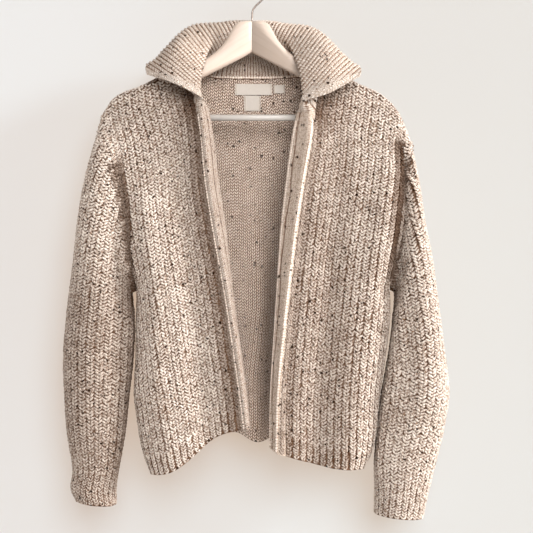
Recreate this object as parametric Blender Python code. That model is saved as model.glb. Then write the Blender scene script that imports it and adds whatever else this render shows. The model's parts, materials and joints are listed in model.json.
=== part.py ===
"""Ribbed cardigan hung open on a wooden hanger.

The body, the sleeves and the collar are cloth walls around empty space: each sewn piece is a grid of
points read from the short tables below, given the thickness of chunky wool, and kept 0.6 mm from the
piece it is sewn to.  The hanger is two mitred arms, a bar and a wire hook.
Lengths in the tables are millimetres.  +Z is up, the front faces -Y and the wearer's left is +X.
The origin is the inner top of the hook, where the hanger is held.
"""
import math

import bmesh
import bpy
import numpy as np
from mathutils import Vector
from mathutils.bvhtree import BVHTree

MM = 0.001
PART_NAME = "ribbed_cardigan_on_hanger"

# ---- cloth -------------------------------------------------------------------------------------
PANEL_WALL = 4.0          # chunky rib, laid flat
COLLAR_WALL = 4.4         # 1 x 1 rib
BAND_WALL = 4.6           # plain knit, double
GROOVE_WALL = 3.0         # the band where it is stitched down
LABEL_WALL = 1.0
LABEL_GAP = 0.35
SEAM_SET_BACK = 0.3       # each piece stops this far from the seam line

# Drop below the shoulder line, depth of the front and depth of the back at that drop.
BODY_DEPTH = [
    # drop, front, back
    (0.0, 0.0, 0.0),
    (1.2, 5.0, 5.0),
    (4.6, 8.6, 8.6),
    (10.0, 10.0, 10.0),
    (24.0, 13.0, 13.5),
    (48.0, 19.0, 20.0),
    (82.0, 27.0, 28.0),
    (122.0, 37.0, 35.0),
    (166.0, 45.0, 41.0),
    (212.0, 50.0, 45.0),
    (300.0, 53.0, 48.0),
    (400.0, 54.0, 50.0),
    (540.0, 51.0, 48.0),
]
NECK_DROP = 72.0
ARMHOLE_DROP = 275.0
BODY_DROP = 540.0
ROW_DROPS = [0.0, 1.2, 4.6, 10.0, 24.0, 48.0, 72.0, 102.0, 138.0, 176.0, 214.0, 248.0, 275.0,
             312.0, 350.0, 388.0, 426.0, 464.0, 502.0, 540.0]
SHOULDER_STEPS = 9
BACK_NECK_PARTS = [0, 0.024, 0.05, 0.12, 0.24, 0.37, 0.5, 0.63, 0.76, 0.88, 0.95, 0.976, 1]

# Shoulder seams, from the neck to the tip.
SHOULDER = {
    "right": [(-98, 0, -132), (-125, 0, -147), (-151, 0, -161), (-172, 0, -171),
              (-194, 0, -179), (-212, 0, -190), (-222, 0, -205)],
    "left": [(106, 0, -136), (127, 0, -148), (151, 0, -161), (172, 0, -171),
             (195, 0, -182), (212, 0, -196), (224, 0, -212)],
}
# Neckline of each front, from the shoulder down to the band seam.
FRONT_NECK = {
    "right": [(-98, 0, -132), (-98, -5, -133), (-97, -8.6, -136.6), (-96, -11, -143),
              (-94, -17, -158), (-90, -26, -179), (-84, -36, -203)],
    "left": [(106, 0, -136), (106, -5, -137), (105, -8.6, -140.8), (104, -11, -147),
             (102, -17, -164), (99, -26, -187), (95, -36, -212)],
}
BACK_NECK = [(-98, 0, -132), (-97, 5, -133), (-95, 9.5, -136.5), (-83, 19, -144),
             (-62, 27, -149), (-34, 33, -150), (0, 35, -150), (34, 33, -150), (66, 27, -149),
             (90, 19, -147), (103, 9.5, -140.5), (105, 5, -137), (106, 0, -136)]
# Armholes from the shoulder tip down to the underarm.
ARMHOLE = {
    "right": {
        "front": [(-222, 0, -205), (-228, -11, -222), (-225, -18, -240), (-214, -24, -262),
                  (-206, -29, -290), (-197, -34, -330), (-189, -35, -370), (-183, -28, -420),
                  (-177, -14, -460), (-174, 3, -480)],
        "back": [(-222, 0, -205), (-229, 12, -222), (-228, 22, -242), (-220, 29, -268),
                 (-211, 34, -300), (-203, 38, -335), (-195, 40, -375), (-186, 36, -420),
                 (-178, 24, -460), (-174, 3, -480)],
    },
    "left": {
        "front": [(224, 0, -212), (230, -9, -230), (232, -14, -250), (232, -17, -280),
                  (232, -18, -315), (231, -18, -355), (226, -18, -395), (218, -16, -432),
                  (211, -9, -462), (208, 4, -478)],
        "back": [(224, 0, -212), (232, 12, -230), (235, 22, -255), (235, 30, -290),
                 (232, 36, -335), (226, 38, -385), (218, 33, -430), (211, 20, -462),
                 (208, 4, -478)],
    },
}
SIDE_SEAM = {
    "right": [(-174, 3, -480), (-175, 3, -530), (-176, 2, -594), (-178, 1, -640), (-173, 0, -682),
              (-168, 0, -712), (-161, 0, -740), (-152, 0, -762)],
    "left": [(208, 4, -478), (209, 4, -515), (204, 3, -564), (197, 2, -613), (191, 1, -662),
             (188, 0, -700), (180, 0, -730), (169, 0, -752)],
}
# Front bands: seam to the panel, ridge that faces forward, stitched groove, free edge turned back.
BAND = {
    "right": [
        # level, seam x y, ridge x y, groove x y, edge x y
        (-203, -84, -36, -77, -44, -71, -40, -68, -32),
        (-240, -79, -44, -72, -52, -65, -46, -61, -37),
        (-320, -72, -50, -63, -57, -56, -50, -51, -40),
        (-400, -59, -52, -50, -59, -43, -52, -39, -42),
        (-480, -44, -53, -36, -60, -31, -52, -30, -41),
        (-560, -32, -54, -23, -61, -19, -53, -19, -42),
        (-640, -20, -54, -12, -61, -8, -54, -8, -43),
        (-690, -14, -53, -6, -59, -3, -52, -4, -42),
    ],
    "left": [
        (-212, 95, -36, 87, -44, 78, -38, 69, -28),
        (-240, 95, -43, 87, -51, 75, -43, 63, -33),
        (-310, 85, -49, 77, -57, 64, -48, 53, -38),
        (-390, 74, -51, 65, -59, 54, -50, 44, -40),
        (-470, 65, -53, 55, -61, 46, -52, 39, -41),
        (-550, 57, -54, 47, -62, 40, -53, 34, -42),
        (-640, 51, -54, 41, -62, 34, -54, 29, -43),
        (-729, 51, -53, 41, -60, 33, -52, 28, -43),
    ],
}
# Height of the hem above a straight line, at even steps from start to end, and of the band's edge.
HEM = {
    "right": [0, 5, 8, 8, 5, 0, -5, -8, -8, -5, 0],
    "left": [0, -1.5, -3, -4, -5, -5, -5, -4, -3, -1.5, 0],
    "back": [0, 12, 25, 46, 51, 36, 45, 38, 26, 13, 0],
}
BAND_END_LIFT = {"right": 6.0, "left": 12.0}
CORNER = {"right": 3.0, "left": 3.6, "back": 3.4}      # squareness where a panel turns to the side
BAND_REACH = 0.35         # share of a front that bends towards its band
NECK_EASE = 40.0          # drop over which a panel settles from its cut top edge
COLUMNS_FROM, COLUMNS_OVER = 5.0, 160.0                # drop where columns start to spread evenly
BUMP_GONE = 0.5           # share of the drop where the shoulder's slope has gone

# Folds: across at the top and at the hem (0 to 1), half-width across, height towards the outside,
# drop where it starts and drop where it ends.
FOLD_GROWS, FOLD_FADES = 110.0, 80.0
FOLDS = {
    "right": [
        (0.80, 0.74, 0.13, 6.0, 120, 620),
        (0.30, 0.34, 0.13, -8.0, 60, 620),
        (0.52, 0.52, 0.10, 2.5, 330, 620),
    ],
    "left": [
        (0.84, 0.90, 0.09, 5.0, 30, 420),
        (0.12, 0.14, 0.10, 3.0, 120, 620),
        (0.34, 0.38, 0.14, -5.0, 160, 620),
        (0.62, 0.62, 0.12, 3.0, 260, 620),
    ],
    "back": [
        (0.455, 0.480, 0.055, -10.0, 120, 640),
        (0.560, 0.575, 0.050, 11.0, 200, 640),
        (0.370, 0.385, 0.050, 9.0, 260, 640),
        (0.20, 0.24, 0.070, -7.0, 220, 640),
        (0.80, 0.79, 0.075, -7.0, 240, 640),
        (0.68, 0.67, 0.060, 4.0, 200, 640),
    ],
}

# Sleeves below the armhole: outer point, inner point, depth in front and behind of each section.
SLEEVE = {
    "right": [
        # outer x z, inner x z, front, back, bow outward
        (-238, -252, -186, -486, -42, 42, 4),
        (-253, -308, -186, -493, -48, 44, 5),
        (-264, -370, -185, -503, -51, 44, 4),
        (-271, -436, -184, -520, -52, 43, 2),
        (-280, -505, -183, -547, -52, 42, 0),
        (-286, -575, -186, -592, -51, 40, 0),
        (-285, -638, -192, -642, -48, 38, 0),
        (-281, -700, -198, -700, -43, 34, 0),
        (-273, -754, -207, -754, -35, 28, 0),
        (-276, -785, -211, -786, -34, 26, 0),
        (-267, -804, -211, -811, -33, 25, 0),
    ],
    "left": [
        (241, -258, 219, -484, -36, 40, 9),
        (253, -314, 221, -490, -44, 44, 7),
        (262, -375, 221, -500, -50, 45, 4),
        (274, -437, 220, -514, -54, 45, 2),
        (283, -505, 218, -542, -56, 44, 0),
        (291, -566, 211, -590, -57, 42, 0),
        (299, -635, 201, -648, -55, 40, 0),
        (292, -690, 195, -700, -50, 36, 0),
        (281, -738, 191, -745, -44, 32, 0),
        (270, -784, 191, -786, -37, 28, 0),
        (260, -831, 190, -824, -35, 26, 0),
    ],
}
SLEEVE_ROWS = [0, 0.35, 1, 2, 3, 4, 5, 6, 7, 8, 9, 10, 11]
# Folds round a sleeve: turn from its outer line over the front, half-width in turn, height,
# section where it starts and ends.
SLEEVE_FOLDS = {
    "right": [(0.33, 0.07, -5.0, 1.5, 7.5), (0.18, 0.07, 3.0, 2.0, 9.0), (0.68, 0.08, -5.0, 2.0, 8.0)],
    "left": [(0.30, 0.07, -5.0, 3.0, 9.0), (0.16, 0.07, 4.0, 3.5, 8.5), (0.70, 0.08, -5.0, 2.0, 8.0)],
}

# Collar: for each station along the neckline the roll, the middle of the fall and the outer edge.
COLLAR = {
    "right": [
        # roll x y z, fall x y z, edge x y z
        (-75, -52, -193, -108, -60, -175, -158, -39, -154),
        (-79, -50, -177, -112, -56, -159, -161, -27, -147),
        (-76, -36, -149, -114, -40, -128, -160, -11, -136),
        (-68, -3, -112, -108, -10, -97, -150, 10, -127),
        (-50, 15, -80, -88, 29, -68, -127, 38, -101),
        (-34, 24, -65, -60, 48, -70, -86, 60, -122),
    ],
    "left": [
        (75, -49, -200, 116, -58, -186, 163, -39, -157),
        (77, -48, -184, 116, -56, -164, 166, -27, -148),
        (74, -36, -153, 116, -40, -130, 163, -11, -139),
        (63, -3, -112, 106, -10, -98, 153, 10, -130),
        (50, 15, -82, 88, 29, -71, 128, 38, -108),
        (34, 24, -66, 60, 48, -71, 86, 60, -124),
    ],
    "centre": (0, 27, -64, 0, 51, -76, 0, 66, -133),
}
COLLAR_ACROSS = [0, 0.12, 0.24, 0.34, 0.44, 0.56, 0.70, 0.85, 1.0]
STATION_AT = [0, 0.15, 0.33, 0.51, 0.68, 0.83]    # of the neckline from its end to the middle

# Labels on the inside of the back: centre x, width, top and bottom level.
LABELS = {
    "label_main": (2.0, 58.0, -159.0, -176.5),
    "label_size": (42.0, 17.5, -161.0, -174.0),
    "label_care": (0.0, 26.0, -177.0, -201.0),
}

# ---- hanger ------------------------------------------------------------------------------------
ARM_DEPTH = 12.0
ARM_ROUND = 4.4
MITRE_GAP = 0.2
ARM_OUTLINE = [
    # x outward from the middle, level: over the top, round the end and back along the bottom
    (14, -67.6), (20, -68.6), (25, -71.5), (29, -77), (34, -86), (40, -97), (47, -106), (56, -115),
    (67, -123), (80, -129.8), (95, -136.9), (125, -151.0), (151, -164.8), (172, -174.8),
    (190, -184.0), (198, -190.4), (202.4, -198.2), (202.8, -208), (200, -217), (194, -222.5),
    (187, -222), (182, -215.5), (174, -207), (158, -196), (120, -177.5), (78, -156),
]
ARM_TOP = -67.4
ARM_APEX = -116.0
BAR_LEVEL = -216.0
BAR_RADIUS = 4.9
BAR_HALF = 191.0
WIRE_RADIUS = 1.5
HOOK_INNER = 20.0
HOOK_STEM_FOOT = -84.0
SOCKET_CLEAR = 0.3

COLOURS = {
    "oatmeal_wool": ((0.58, 0.48, 0.38), 0.95, 0.0),
    "rib_wool": ((0.62, 0.52, 0.42), 0.95, 0.0),
    "label_cloth": ((0.82, 0.76, 0.66), 0.8, 0.0),
    "pale_wood": ((0.62, 0.48, 0.36), 0.5, 0.0),
    "white_coating": ((0.88, 0.86, 0.83), 0.35, 0.0),
    "steel_wire": ((0.60, 0.58, 0.55), 0.3, 1.0),
}


# ---- curves ------------------------------------------------------------------------------------
def spline(knots, values, at):
    """Smooth curve through the rows of values at rising knots."""
    knots = np.asarray(knots, float)
    values = np.asarray(values, float)
    at = np.asarray(at, float)
    slope = np.gradient(values, knots, axis=0)
    i = np.clip(np.searchsorted(knots, at, side="right") - 1, 0, len(knots) - 2)
    h = (knots[i + 1] - knots[i])[:, None]
    t = ((at - knots[i])[:, None]) / h
    a, b = values[i], values[i + 1]
    return ((1 + 2 * t) * (1 - t) ** 2 * a + t * (1 - t) ** 2 * h * slope[i]
            + t * t * (3 - 2 * t) * b - t * t * (1 - t) * h * slope[i + 1])


def lengths(points):
    """Length along a polyline at each of its points."""
    steps = np.linalg.norm(np.diff(points, axis=0), axis=1)
    return np.concatenate([[0.0], np.cumsum(steps)])


def along(points, fractions):
    """Points at fractions of the length of the smooth curve through the given ones."""
    points = np.asarray(points, float)
    run = lengths(points)
    dense = spline(run, points, np.linspace(0, run[-1], 240))
    run = lengths(dense)
    wanted = np.asarray(fractions) * run[-1]
    return np.stack([np.interp(wanted, run, dense[:, k]) for k in range(3)], axis=1)


def at_levels(points, levels):
    """Points of a falling curve at the given levels."""
    points = np.asarray(points, float)
    run = lengths(points)
    dense = spline(run, points, np.linspace(0, run[-1], 400))
    fall = np.maximum.accumulate(-dense[:, 2])
    out = np.stack([np.interp(-np.asarray(levels), fall, dense[:, k]) for k in range(3)], axis=1)
    out[:, 2] = levels
    return out


def ease(t):
    t = np.clip(t, 0.0, 1.0)
    return t * t * (3 - 2 * t)


# ---- seam lines --------------------------------------------------------------------------------
def outer_edge(side, half, drops):
    """Armhole and side seam of a panel, one point a row."""
    arm = ARMHOLE[side][half]
    seam = SIDE_SEAM[side]
    tip, under, hem = arm[0][2], arm[-1][2], seam[-1][2]
    upper = drops <= ARMHOLE_DROP
    levels_up = tip + (under - tip) * drops[upper] / ARMHOLE_DROP
    share = (drops[~upper] - ARMHOLE_DROP) / (BODY_DROP - ARMHOLE_DROP)
    levels_down = under + (hem - under) * share
    return np.concatenate([at_levels(arm, levels_up), at_levels(seam, levels_down)])


def band_lines(side, drops):
    """The band's seam, ridge, groove and free edge, one point a row below the neck."""
    table = np.asarray(BAND[side], float)
    share = (drops - NECK_DROP) / (BODY_DROP - NECK_DROP)
    levels = table[0, 0] + (table[-1, 0] - table[0, 0]) * share
    read = spline(-table[:, 0], table, -levels)
    lift = BAND_END_LIFT[side] * np.array([0.0, 0.25, 0.7, 1.0])
    lines = []
    for k in range(4):
        line = np.stack([read[:, 1 + 2 * k], read[:, 2 + 2 * k], levels], axis=1)
        line[:, 2] += lift[k] * share ** 12
        lines.append(line)
    return lines


def fold_height(folds, across, drop):
    """Height of all folds of a panel at each place across one row."""
    total = np.zeros_like(across)
    for top, hem, width, height, start, end in folds:
        centre = top + (hem - top) * drop / BODY_DROP
        window = ease((drop - start) / FOLD_GROWS) * ease((end - drop) / FOLD_FADES)
        total += height * window * np.exp(-((across - centre) / width) ** 2)
    return total * (1 - across ** 8) * (1 - (1 - across) ** 8)


def place_columns(row_points, across, wanted_top, blend):
    """Places across a row: those of the top edge, easing into equal lengths along the row."""
    run = lengths(row_points)
    even = np.interp(np.linspace(0, run[-1], len(wanted_top)), run, across)
    return wanted_top + (even - wanted_top) * blend


def panel(name, drops, start, end, top, half):
    """Grid of a body panel between two falling edges, below its top edge."""
    across = 0.5 - 0.5 * np.cos(np.linspace(0, math.pi, 121))
    top_across = (top[:, 0] - top[0, 0]) / (top[-1, 0] - top[0, 0])
    depth = np.asarray(BODY_DEPTH, float)
    sign = -1.0 if half == "front" else 1.0
    hem = np.asarray(HEM[name], float)[:, None]
    lift = spline(np.linspace(0, 1, len(hem)), hem, across)[:, 0]
    square = CORNER[name]
    flat_top = top[0, 2] + (top[-1, 2] - top[0, 2]) * across
    bump = np.interp(across, top_across, top[:, 2]) - flat_top
    top_depth = np.interp(across, top_across, top[:, 1])
    column = 0 if half == "front" else 1
    full = depth[-4:, 1 + column].mean()
    corner = 1 - (1 - across ** square) ** (1 / square)
    middle = corner[len(corner) // 2]
    turn = np.maximum(corner - middle, 0) / (1 - middle)
    near = np.maximum(1 - across / BAND_REACH, 0.0) ** 2 if half == "front" else turn[::-1]
    rows = []
    for drop, s, e in zip(drops, start, end):
        level_depth = spline(depth[:, 0], depth[:, 1:], [drop])[0][column]
        plane = sign * level_depth + top_depth * max(1 - level_depth / full, 0.0)
        share = drop / BODY_DROP
        x = s[0] + (e[0] - s[0]) * across
        z = s[2] + (e[2] - s[2]) * across + bump * (1 - float(ease(share / BUMP_GONE)))
        z += lift * share ** 3
        y = plane + (s[1] - plane[0]) * near + (e[1] - plane[-1]) * turn
        y += sign * fold_height(FOLDS[name], across, drop)
        line = np.stack([x, y, z], axis=1)
        blend = float(ease((drop - COLUMNS_FROM) / COLUMNS_OVER))
        places = place_columns(line, across, top_across, blend)
        rows.append(np.stack([np.interp(places, across, line[:, k]) for k in range(3)], axis=1))
    grid = np.array(rows)
    miss = top - grid[0]
    for r, drop in enumerate(drops):
        grid[r] += miss * max(1 - drop / NECK_EASE, 0.0) ** 2
    grid[:, 0] = start
    grid[:, -1] = end
    return grid


# ---- the sewn pieces as grids ------------------------------------------------------------------
def body_grids(drops):
    """Fronts, back and bands, with the edges they share."""
    drops = np.asarray(drops, float)
    grids = {}
    seams = {}
    for side in ("right", "left"):
        shoulder = along(SHOULDER[side], np.linspace(0, 1, SHOULDER_STEPS + 1))
        upper = drops[drops <= NECK_DROP]
        lines = band_lines(side, drops[drops >= NECK_DROP])
        top_level, neck_level = FRONT_NECK[side][0][2], FRONT_NECK[side][-1][2]
        levels = top_level + (neck_level - top_level) * upper / NECK_DROP
        neck = at_levels(FRONT_NECK[side], levels)
        neck[0], neck[-1] = shoulder[0], lines[0][0]
        start = np.concatenate([neck, lines[0][1:]])
        edge = outer_edge(side, "front", drops)
        edge[0] = shoulder[-1]
        grids["front_" + side] = panel(side, drops, start, edge, shoulder, "front")
        grids["band_" + side] = np.stack(lines, axis=1)
        seams[side] = {"neck": neck, "shoulder": shoulder, "front": edge, "band": lines}
        behind = outer_edge(side, "back", drops)
        behind[0] = shoulder[-1]
        count = int(np.sum(drops <= ARMHOLE_DROP))
        behind[count - 1:] = edge[count - 1:]
        seams[side]["back"] = behind
    across = along(BACK_NECK, BACK_NECK_PARTS)
    across[0], across[-1] = seams["right"]["shoulder"][0], seams["left"]["shoulder"][0]
    top = np.concatenate([seams["right"]["shoulder"][::-1], across[1:-1],
                          seams["left"]["shoulder"]])
    grids["back"] = panel("back", drops, seams["right"]["back"], seams["left"]["back"], top, "back")
    seams["back_neck"] = across
    return grids, seams


def sleeve_grid(side, seams, drops, rows):
    """Tube from the armhole to the cuff; columns run from the outer line over the front."""
    count = int(np.sum(np.asarray(drops) <= ARMHOLE_DROP))
    ring = np.concatenate([seams[side]["front"][:count], seams[side]["back"][:count][::-1][1:-1]])
    closed = np.concatenate([ring, ring[:1]])
    run = lengths(closed)
    own = run[:-1] / run[-1]
    even = np.arange(len(ring)) / len(ring)
    sections = [ring]
    for k, (ox, oz, ix, iz, front, back, bow) in enumerate(SLEEVE[side], start=1):
        turn = 2 * math.pi * (own + (even - own) * ease(k / 6.0))
        centre = np.array([(ox + ix) / 2, 0.0, (oz + iz) / 2])
        half = np.array([(ox - ix) / 2, 0.0, (oz - iz) / 2])
        c, s = np.cos(turn), np.sin(turn)
        narrow = 1 + 1.2 * (1 - float(ease((k - 1) / 4.0))) * np.maximum(-c, 0.0)
        s = np.sign(s) * np.abs(s) ** narrow
        depth = np.where(s > 0, front, back)
        points = centre + c[:, None] * half
        points[:, 0] += math.copysign(bow, ox) * (1 - c * c)
        swell = np.zeros(len(ring))
        for at, width, height, first, last in SLEEVE_FOLDS[side]:
            window = ease((k - first) / 2.0) * ease((last - k) / 2.0)
            away = (own - at + 0.5) % 1.0 - 0.5
            swell += height * window * np.exp(-(away / width) ** 2)
        middle = (front + back) / 2
        points[:, 1] = np.abs(s) * depth + (1 - np.abs(s)) * middle * 0.4 * (1 - np.maximum(-c, 0))
        out = points - np.array([centre[0], middle, centre[2]])
        out /= np.linalg.norm(out, axis=1)[:, None]
        sections.append(points + out * swell[:, None])
    stack = np.array(sections)
    flat = stack.reshape(len(stack), -1)
    return spline(np.arange(len(stack)), flat, rows).reshape(len(rows), len(ring), 3)


def collar_grid(seams):
    """Stand, roll and fall; columns follow the neckline from the right band to the left one."""
    right, left = seams["right"], seams["left"]
    top_right = np.array([right["band"][k][0] for k in (3, 2, 1)])
    top_left = np.array([left["band"][k][0] for k in (1, 2, 3)])
    neck = np.concatenate([top_right, right["neck"][::-1], seams["back_neck"][1:-1], left["neck"],
                           top_left])
    run = lengths(neck)
    middle = run[len(neck) // 2]
    rest = run[-1] - middle
    stations = [middle * a for a in STATION_AT] + [middle]
    stations += [run[-1] - rest * a for a in reversed(STATION_AT)]
    table = COLLAR["right"] + [COLLAR["centre"]] + COLLAR["left"][::-1]
    read = spline(stations, table, run).reshape(len(neck), 3, 3)
    columns = []
    for foot, (roll, fall, edge) in zip(neck, read):
        columns.append(along([foot, roll, fall, edge], COLLAR_ACROSS))
    return np.array(columns).transpose(1, 0, 2)


# ---- cloth walls -------------------------------------------------------------------------------
def key_of(point):
    return tuple(int(round(v * 50)) for v in point)


def facet_normals(grid, closed):
    """Normal at every point of a grid, weighted by the area around it."""
    rows, cols = grid.shape[:2]
    total = np.zeros_like(grid)
    for r in range(rows - 1):
        for c in range(cols if closed else cols - 1):
            d = (c + 1) % cols
            one = grid[r + 1, d] - grid[r, c]
            two = grid[r + 1, c] - grid[r, d]
            n = np.cross(one, two)
            for q in ((r, c), (r, d), (r + 1, c), (r + 1, d)):
                total[q] += n
    return total


class Cloth:
    """A grid of middle points with the sides along which it is sewn."""

    def __init__(self, name, grid, wall, closed=False, group="", sewn=()):
        self.name, self.grid, self.closed, self.group = name, grid, closed, group or name
        self.wall = np.broadcast_to(np.asarray(wall, float), grid.shape[:2])
        self.sewn = sewn
        self.normal = facet_normals(grid, closed)

    def side(self, which):
        rows, cols = self.grid.shape[:2]
        if which == "top":
            return [(0, c) for c in range(cols)], [(1, c) for c in range(cols)]
        if which == "bottom":
            return [(rows - 1, c) for c in range(cols)], [(rows - 2, c) for c in range(cols)]
        if which == "start":
            return [(r, 0) for r in range(rows)], [(r, 1) for r in range(rows)]
        return [(r, cols - 1) for r in range(rows)], [(r, cols - 2) for r in range(rows)]


def unit(vectors):
    vectors = np.asarray(vectors, float)
    return vectors / np.linalg.norm(vectors, axis=-1, keepdims=True)


def share_normals(pieces):
    """Give the points that pieces share one normal, halfway between the surfaces that meet there."""
    met = {}
    for piece in pieces:
        for point, n in zip(piece.grid.reshape(-1, 3), piece.normal.reshape(-1, 3)):
            groups = met.setdefault(key_of(point), {})
            groups[piece.group] = groups.get(piece.group, 0) + n
    for piece in pieces:
        flat = [sum(unit(n) for n in met[key_of(p)].values()) for p in piece.grid.reshape(-1, 3)]
        piece.normal = unit(flat).reshape(piece.grid.shape)


def orient(pieces):
    """Turn the normals outward: away from the body's inside, and for the collar as the body's."""
    for piece in pieces:
        middle = piece.grid.reshape(-1, 3).mean(axis=0)
        if piece.name.startswith(("front", "band")):
            good = piece.normal.reshape(-1, 3)[:, 1].sum() < 0
        elif piece.name == "back":
            good = piece.normal.reshape(-1, 3)[:, 1].sum() > 0
        elif piece.name == "collar":
            stand = piece.normal[1, piece.grid.shape[1] // 2]
            good = stand[1] > 0
        else:
            out = piece.grid - middle
            good = (out * piece.normal).sum() > 0
        if not good:
            piece.normal = -piece.normal


def seam_shift(piece):
    """Move of every sewn edge point that clears the seams on both sides of it."""
    grid, normal = piece.grid, piece.normal
    rules = {}
    for which in piece.sewn:
        edge, inner = piece.side(which)
        steps = list(zip(edge[:-1], edge[1:], inner[:-1]))
        if piece.closed:
            steps.append((edge[-1], edge[0], inner[-1]))
        for q, p, inside in steps:
            for corner in (q, p):
                away = unit(np.cross(normal[corner], grid[p] - grid[q]))
                if np.dot(away, grid[inside] - grid[q]) < 0:
                    away = -away
                rules.setdefault(corner, []).append(away)
    shift = np.zeros_like(grid)
    for corner, aways in rules.items():
        wanted = np.full(len(aways), SEAM_SET_BACK)
        move = np.linalg.lstsq(np.array(aways), wanted, rcond=0.05)[0]
        shift[corner] = move * min(1.0, 3 * SEAM_SET_BACK / max(np.linalg.norm(move), 1e-9))
    return shift


def cloth_mesh(piece):
    """Closed wall around a grid: outer skin, inner skin and the cut edges."""
    grid, normal = piece.grid, piece.normal
    rows, cols = grid.shape[:2]
    shift = seam_shift(piece)
    half = piece.wall[..., None] / 2
    outer = (grid + shift + normal * half).reshape(-1, 3)
    inner = (grid + shift - normal * half).reshape(-1, 3)
    points = np.concatenate([outer, inner]) * MM
    base = rows * cols
    faces = []
    wrap = cols if piece.closed else cols - 1

    def number(r, c):
        return r * cols + c % cols

    for r in range(rows - 1):
        for c in range(wrap):
            a, b = number(r, c), number(r, c + 1)
            d, e = number(r + 1, c), number(r + 1, c + 1)
            faces += [(a, d, e), (a, e, b)]
            faces += [(base + a, base + e, base + d), (base + a, base + b, base + e)]

    def wall_strip(cells):
        for q, p in zip(cells[:-1], cells[1:]):
            a, b = number(*q), number(*p)
            first = key_of(grid.reshape(-1, 3)[a]) < key_of(grid.reshape(-1, 3)[b])
            if first:
                faces.extend([(a, b, base + b), (a, base + b, base + a)])
            else:
                faces.extend([(a, b, base + a), (b, base + b, base + a)])

    top = [(0, c) for c in range(wrap + 1)]
    bottom = [(rows - 1, c) for c in range(wrap + 1)][::-1]
    wall_strip(top)
    wall_strip(bottom)
    if not piece.closed:
        wall_strip([(r, 0) for r in range(rows)][::-1])
        wall_strip([(r, cols - 1) for r in range(rows)])
    return points, faces


def add_object(name, points, faces, material, collection):
    mesh = bpy.data.meshes.new(name)
    mesh.from_pydata([tuple(p) for p in points], [], [tuple(int(i) for i in f) for f in faces])
    mesh.validate()
    bm = bmesh.new()
    bm.from_mesh(mesh)
    bmesh.ops.recalc_face_normals(bm, faces=bm.faces)
    bm.to_mesh(mesh)
    bm.free()
    mesh.materials.append(material)
    obj = bpy.data.objects.new(name, mesh)
    collection.objects.link(obj)
    return obj


def label_grid(back_mesh, centre, width, top, bottom):
    """Points of a label resting on the inside of the back."""
    tree = BVHTree.FromPolygons([Vector(p) for p in back_mesh[0]], back_mesh[1])
    rows = []
    for level in np.linspace(top, bottom, 3):
        row = []
        for x in np.linspace(centre - width / 2, centre + width / 2, 5):
            depths = []
            for dx in (-0.1 * width, 0.0, 0.1 * width):
                for dz in (-5.0, 0.0, 5.0):
                    start = Vector(((x + dx) * MM, 0.0, (level + dz) * MM))
                    hit = tree.ray_cast(start, Vector((0, 1, 0)))
                    depths.append(hit[0].y / MM)
            row.append((x, min(depths) - LABEL_GAP - LABEL_WALL / 2, level))
        rows.append(row)
    return np.array(rows)


# ---- hanger ------------------------------------------------------------------------------------
def hanger_arm(name, sign, material, collection):
    """Side outline of an arm, given its depth, with the long edges rounded."""
    start = MITRE_GAP
    outline = [(start, ARM_TOP)] + ARM_OUTLINE + [(start, ARM_APEX)]
    bm = bmesh.new()
    verts = [bm.verts.new((sign * x * MM, -ARM_DEPTH / 2 * MM, z * MM)) for x, z in outline]
    face = bm.faces.new(verts)
    grown = bmesh.ops.extrude_face_region(bm, geom=[face])
    moved = [g for g in grown["geom"] if isinstance(g, bmesh.types.BMVert)]
    bmesh.ops.translate(bm, verts=moved, vec=(0, ARM_DEPTH * MM, 0))
    bmesh.ops.recalc_face_normals(bm, faces=bm.faces)
    limit = (start + 0.01) * MM
    rims = []
    for edge in bm.edges:
        a, b = edge.verts
        flat = abs(a.co.y - b.co.y) < 1e-6
        if flat and not (abs(a.co.x) < limit and abs(b.co.x) < limit):
            rims.append(edge)
    bmesh.ops.bevel(bm, geom=rims, offset=ARM_ROUND * MM, segments=2, profile=0.5, affect="EDGES")
    mesh = bpy.data.meshes.new(name)
    bm.to_mesh(mesh)
    bm.free()
    mesh.materials.append(material)
    obj = bpy.data.objects.new(name, mesh)
    collection.objects.link(obj)
    return obj


def cylinder(name, radius, start, end, material, collection, sides=24):
    start, end = Vector(start) * MM, Vector(end) * MM
    bm = bmesh.new()
    turn = (end - start).to_track_quat("Z", "Y").to_matrix().to_4x4()
    turn.translation = (start + end) / 2
    bmesh.ops.create_cone(bm, cap_ends=True, segments=sides, radius1=radius * MM,
                          radius2=radius * MM, depth=(end - start).length, matrix=turn)
    mesh = bpy.data.meshes.new(name)
    bm.to_mesh(mesh)
    bm.free()
    if material:
        mesh.materials.append(material)
    obj = bpy.data.objects.new(name, mesh)
    collection.objects.link(obj)
    return obj


def cut(target, cutter):
    tool = target.modifiers.new("socket", "BOOLEAN")
    tool.operation = "DIFFERENCE"
    tool.solver = "EXACT"
    tool.object = cutter


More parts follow.
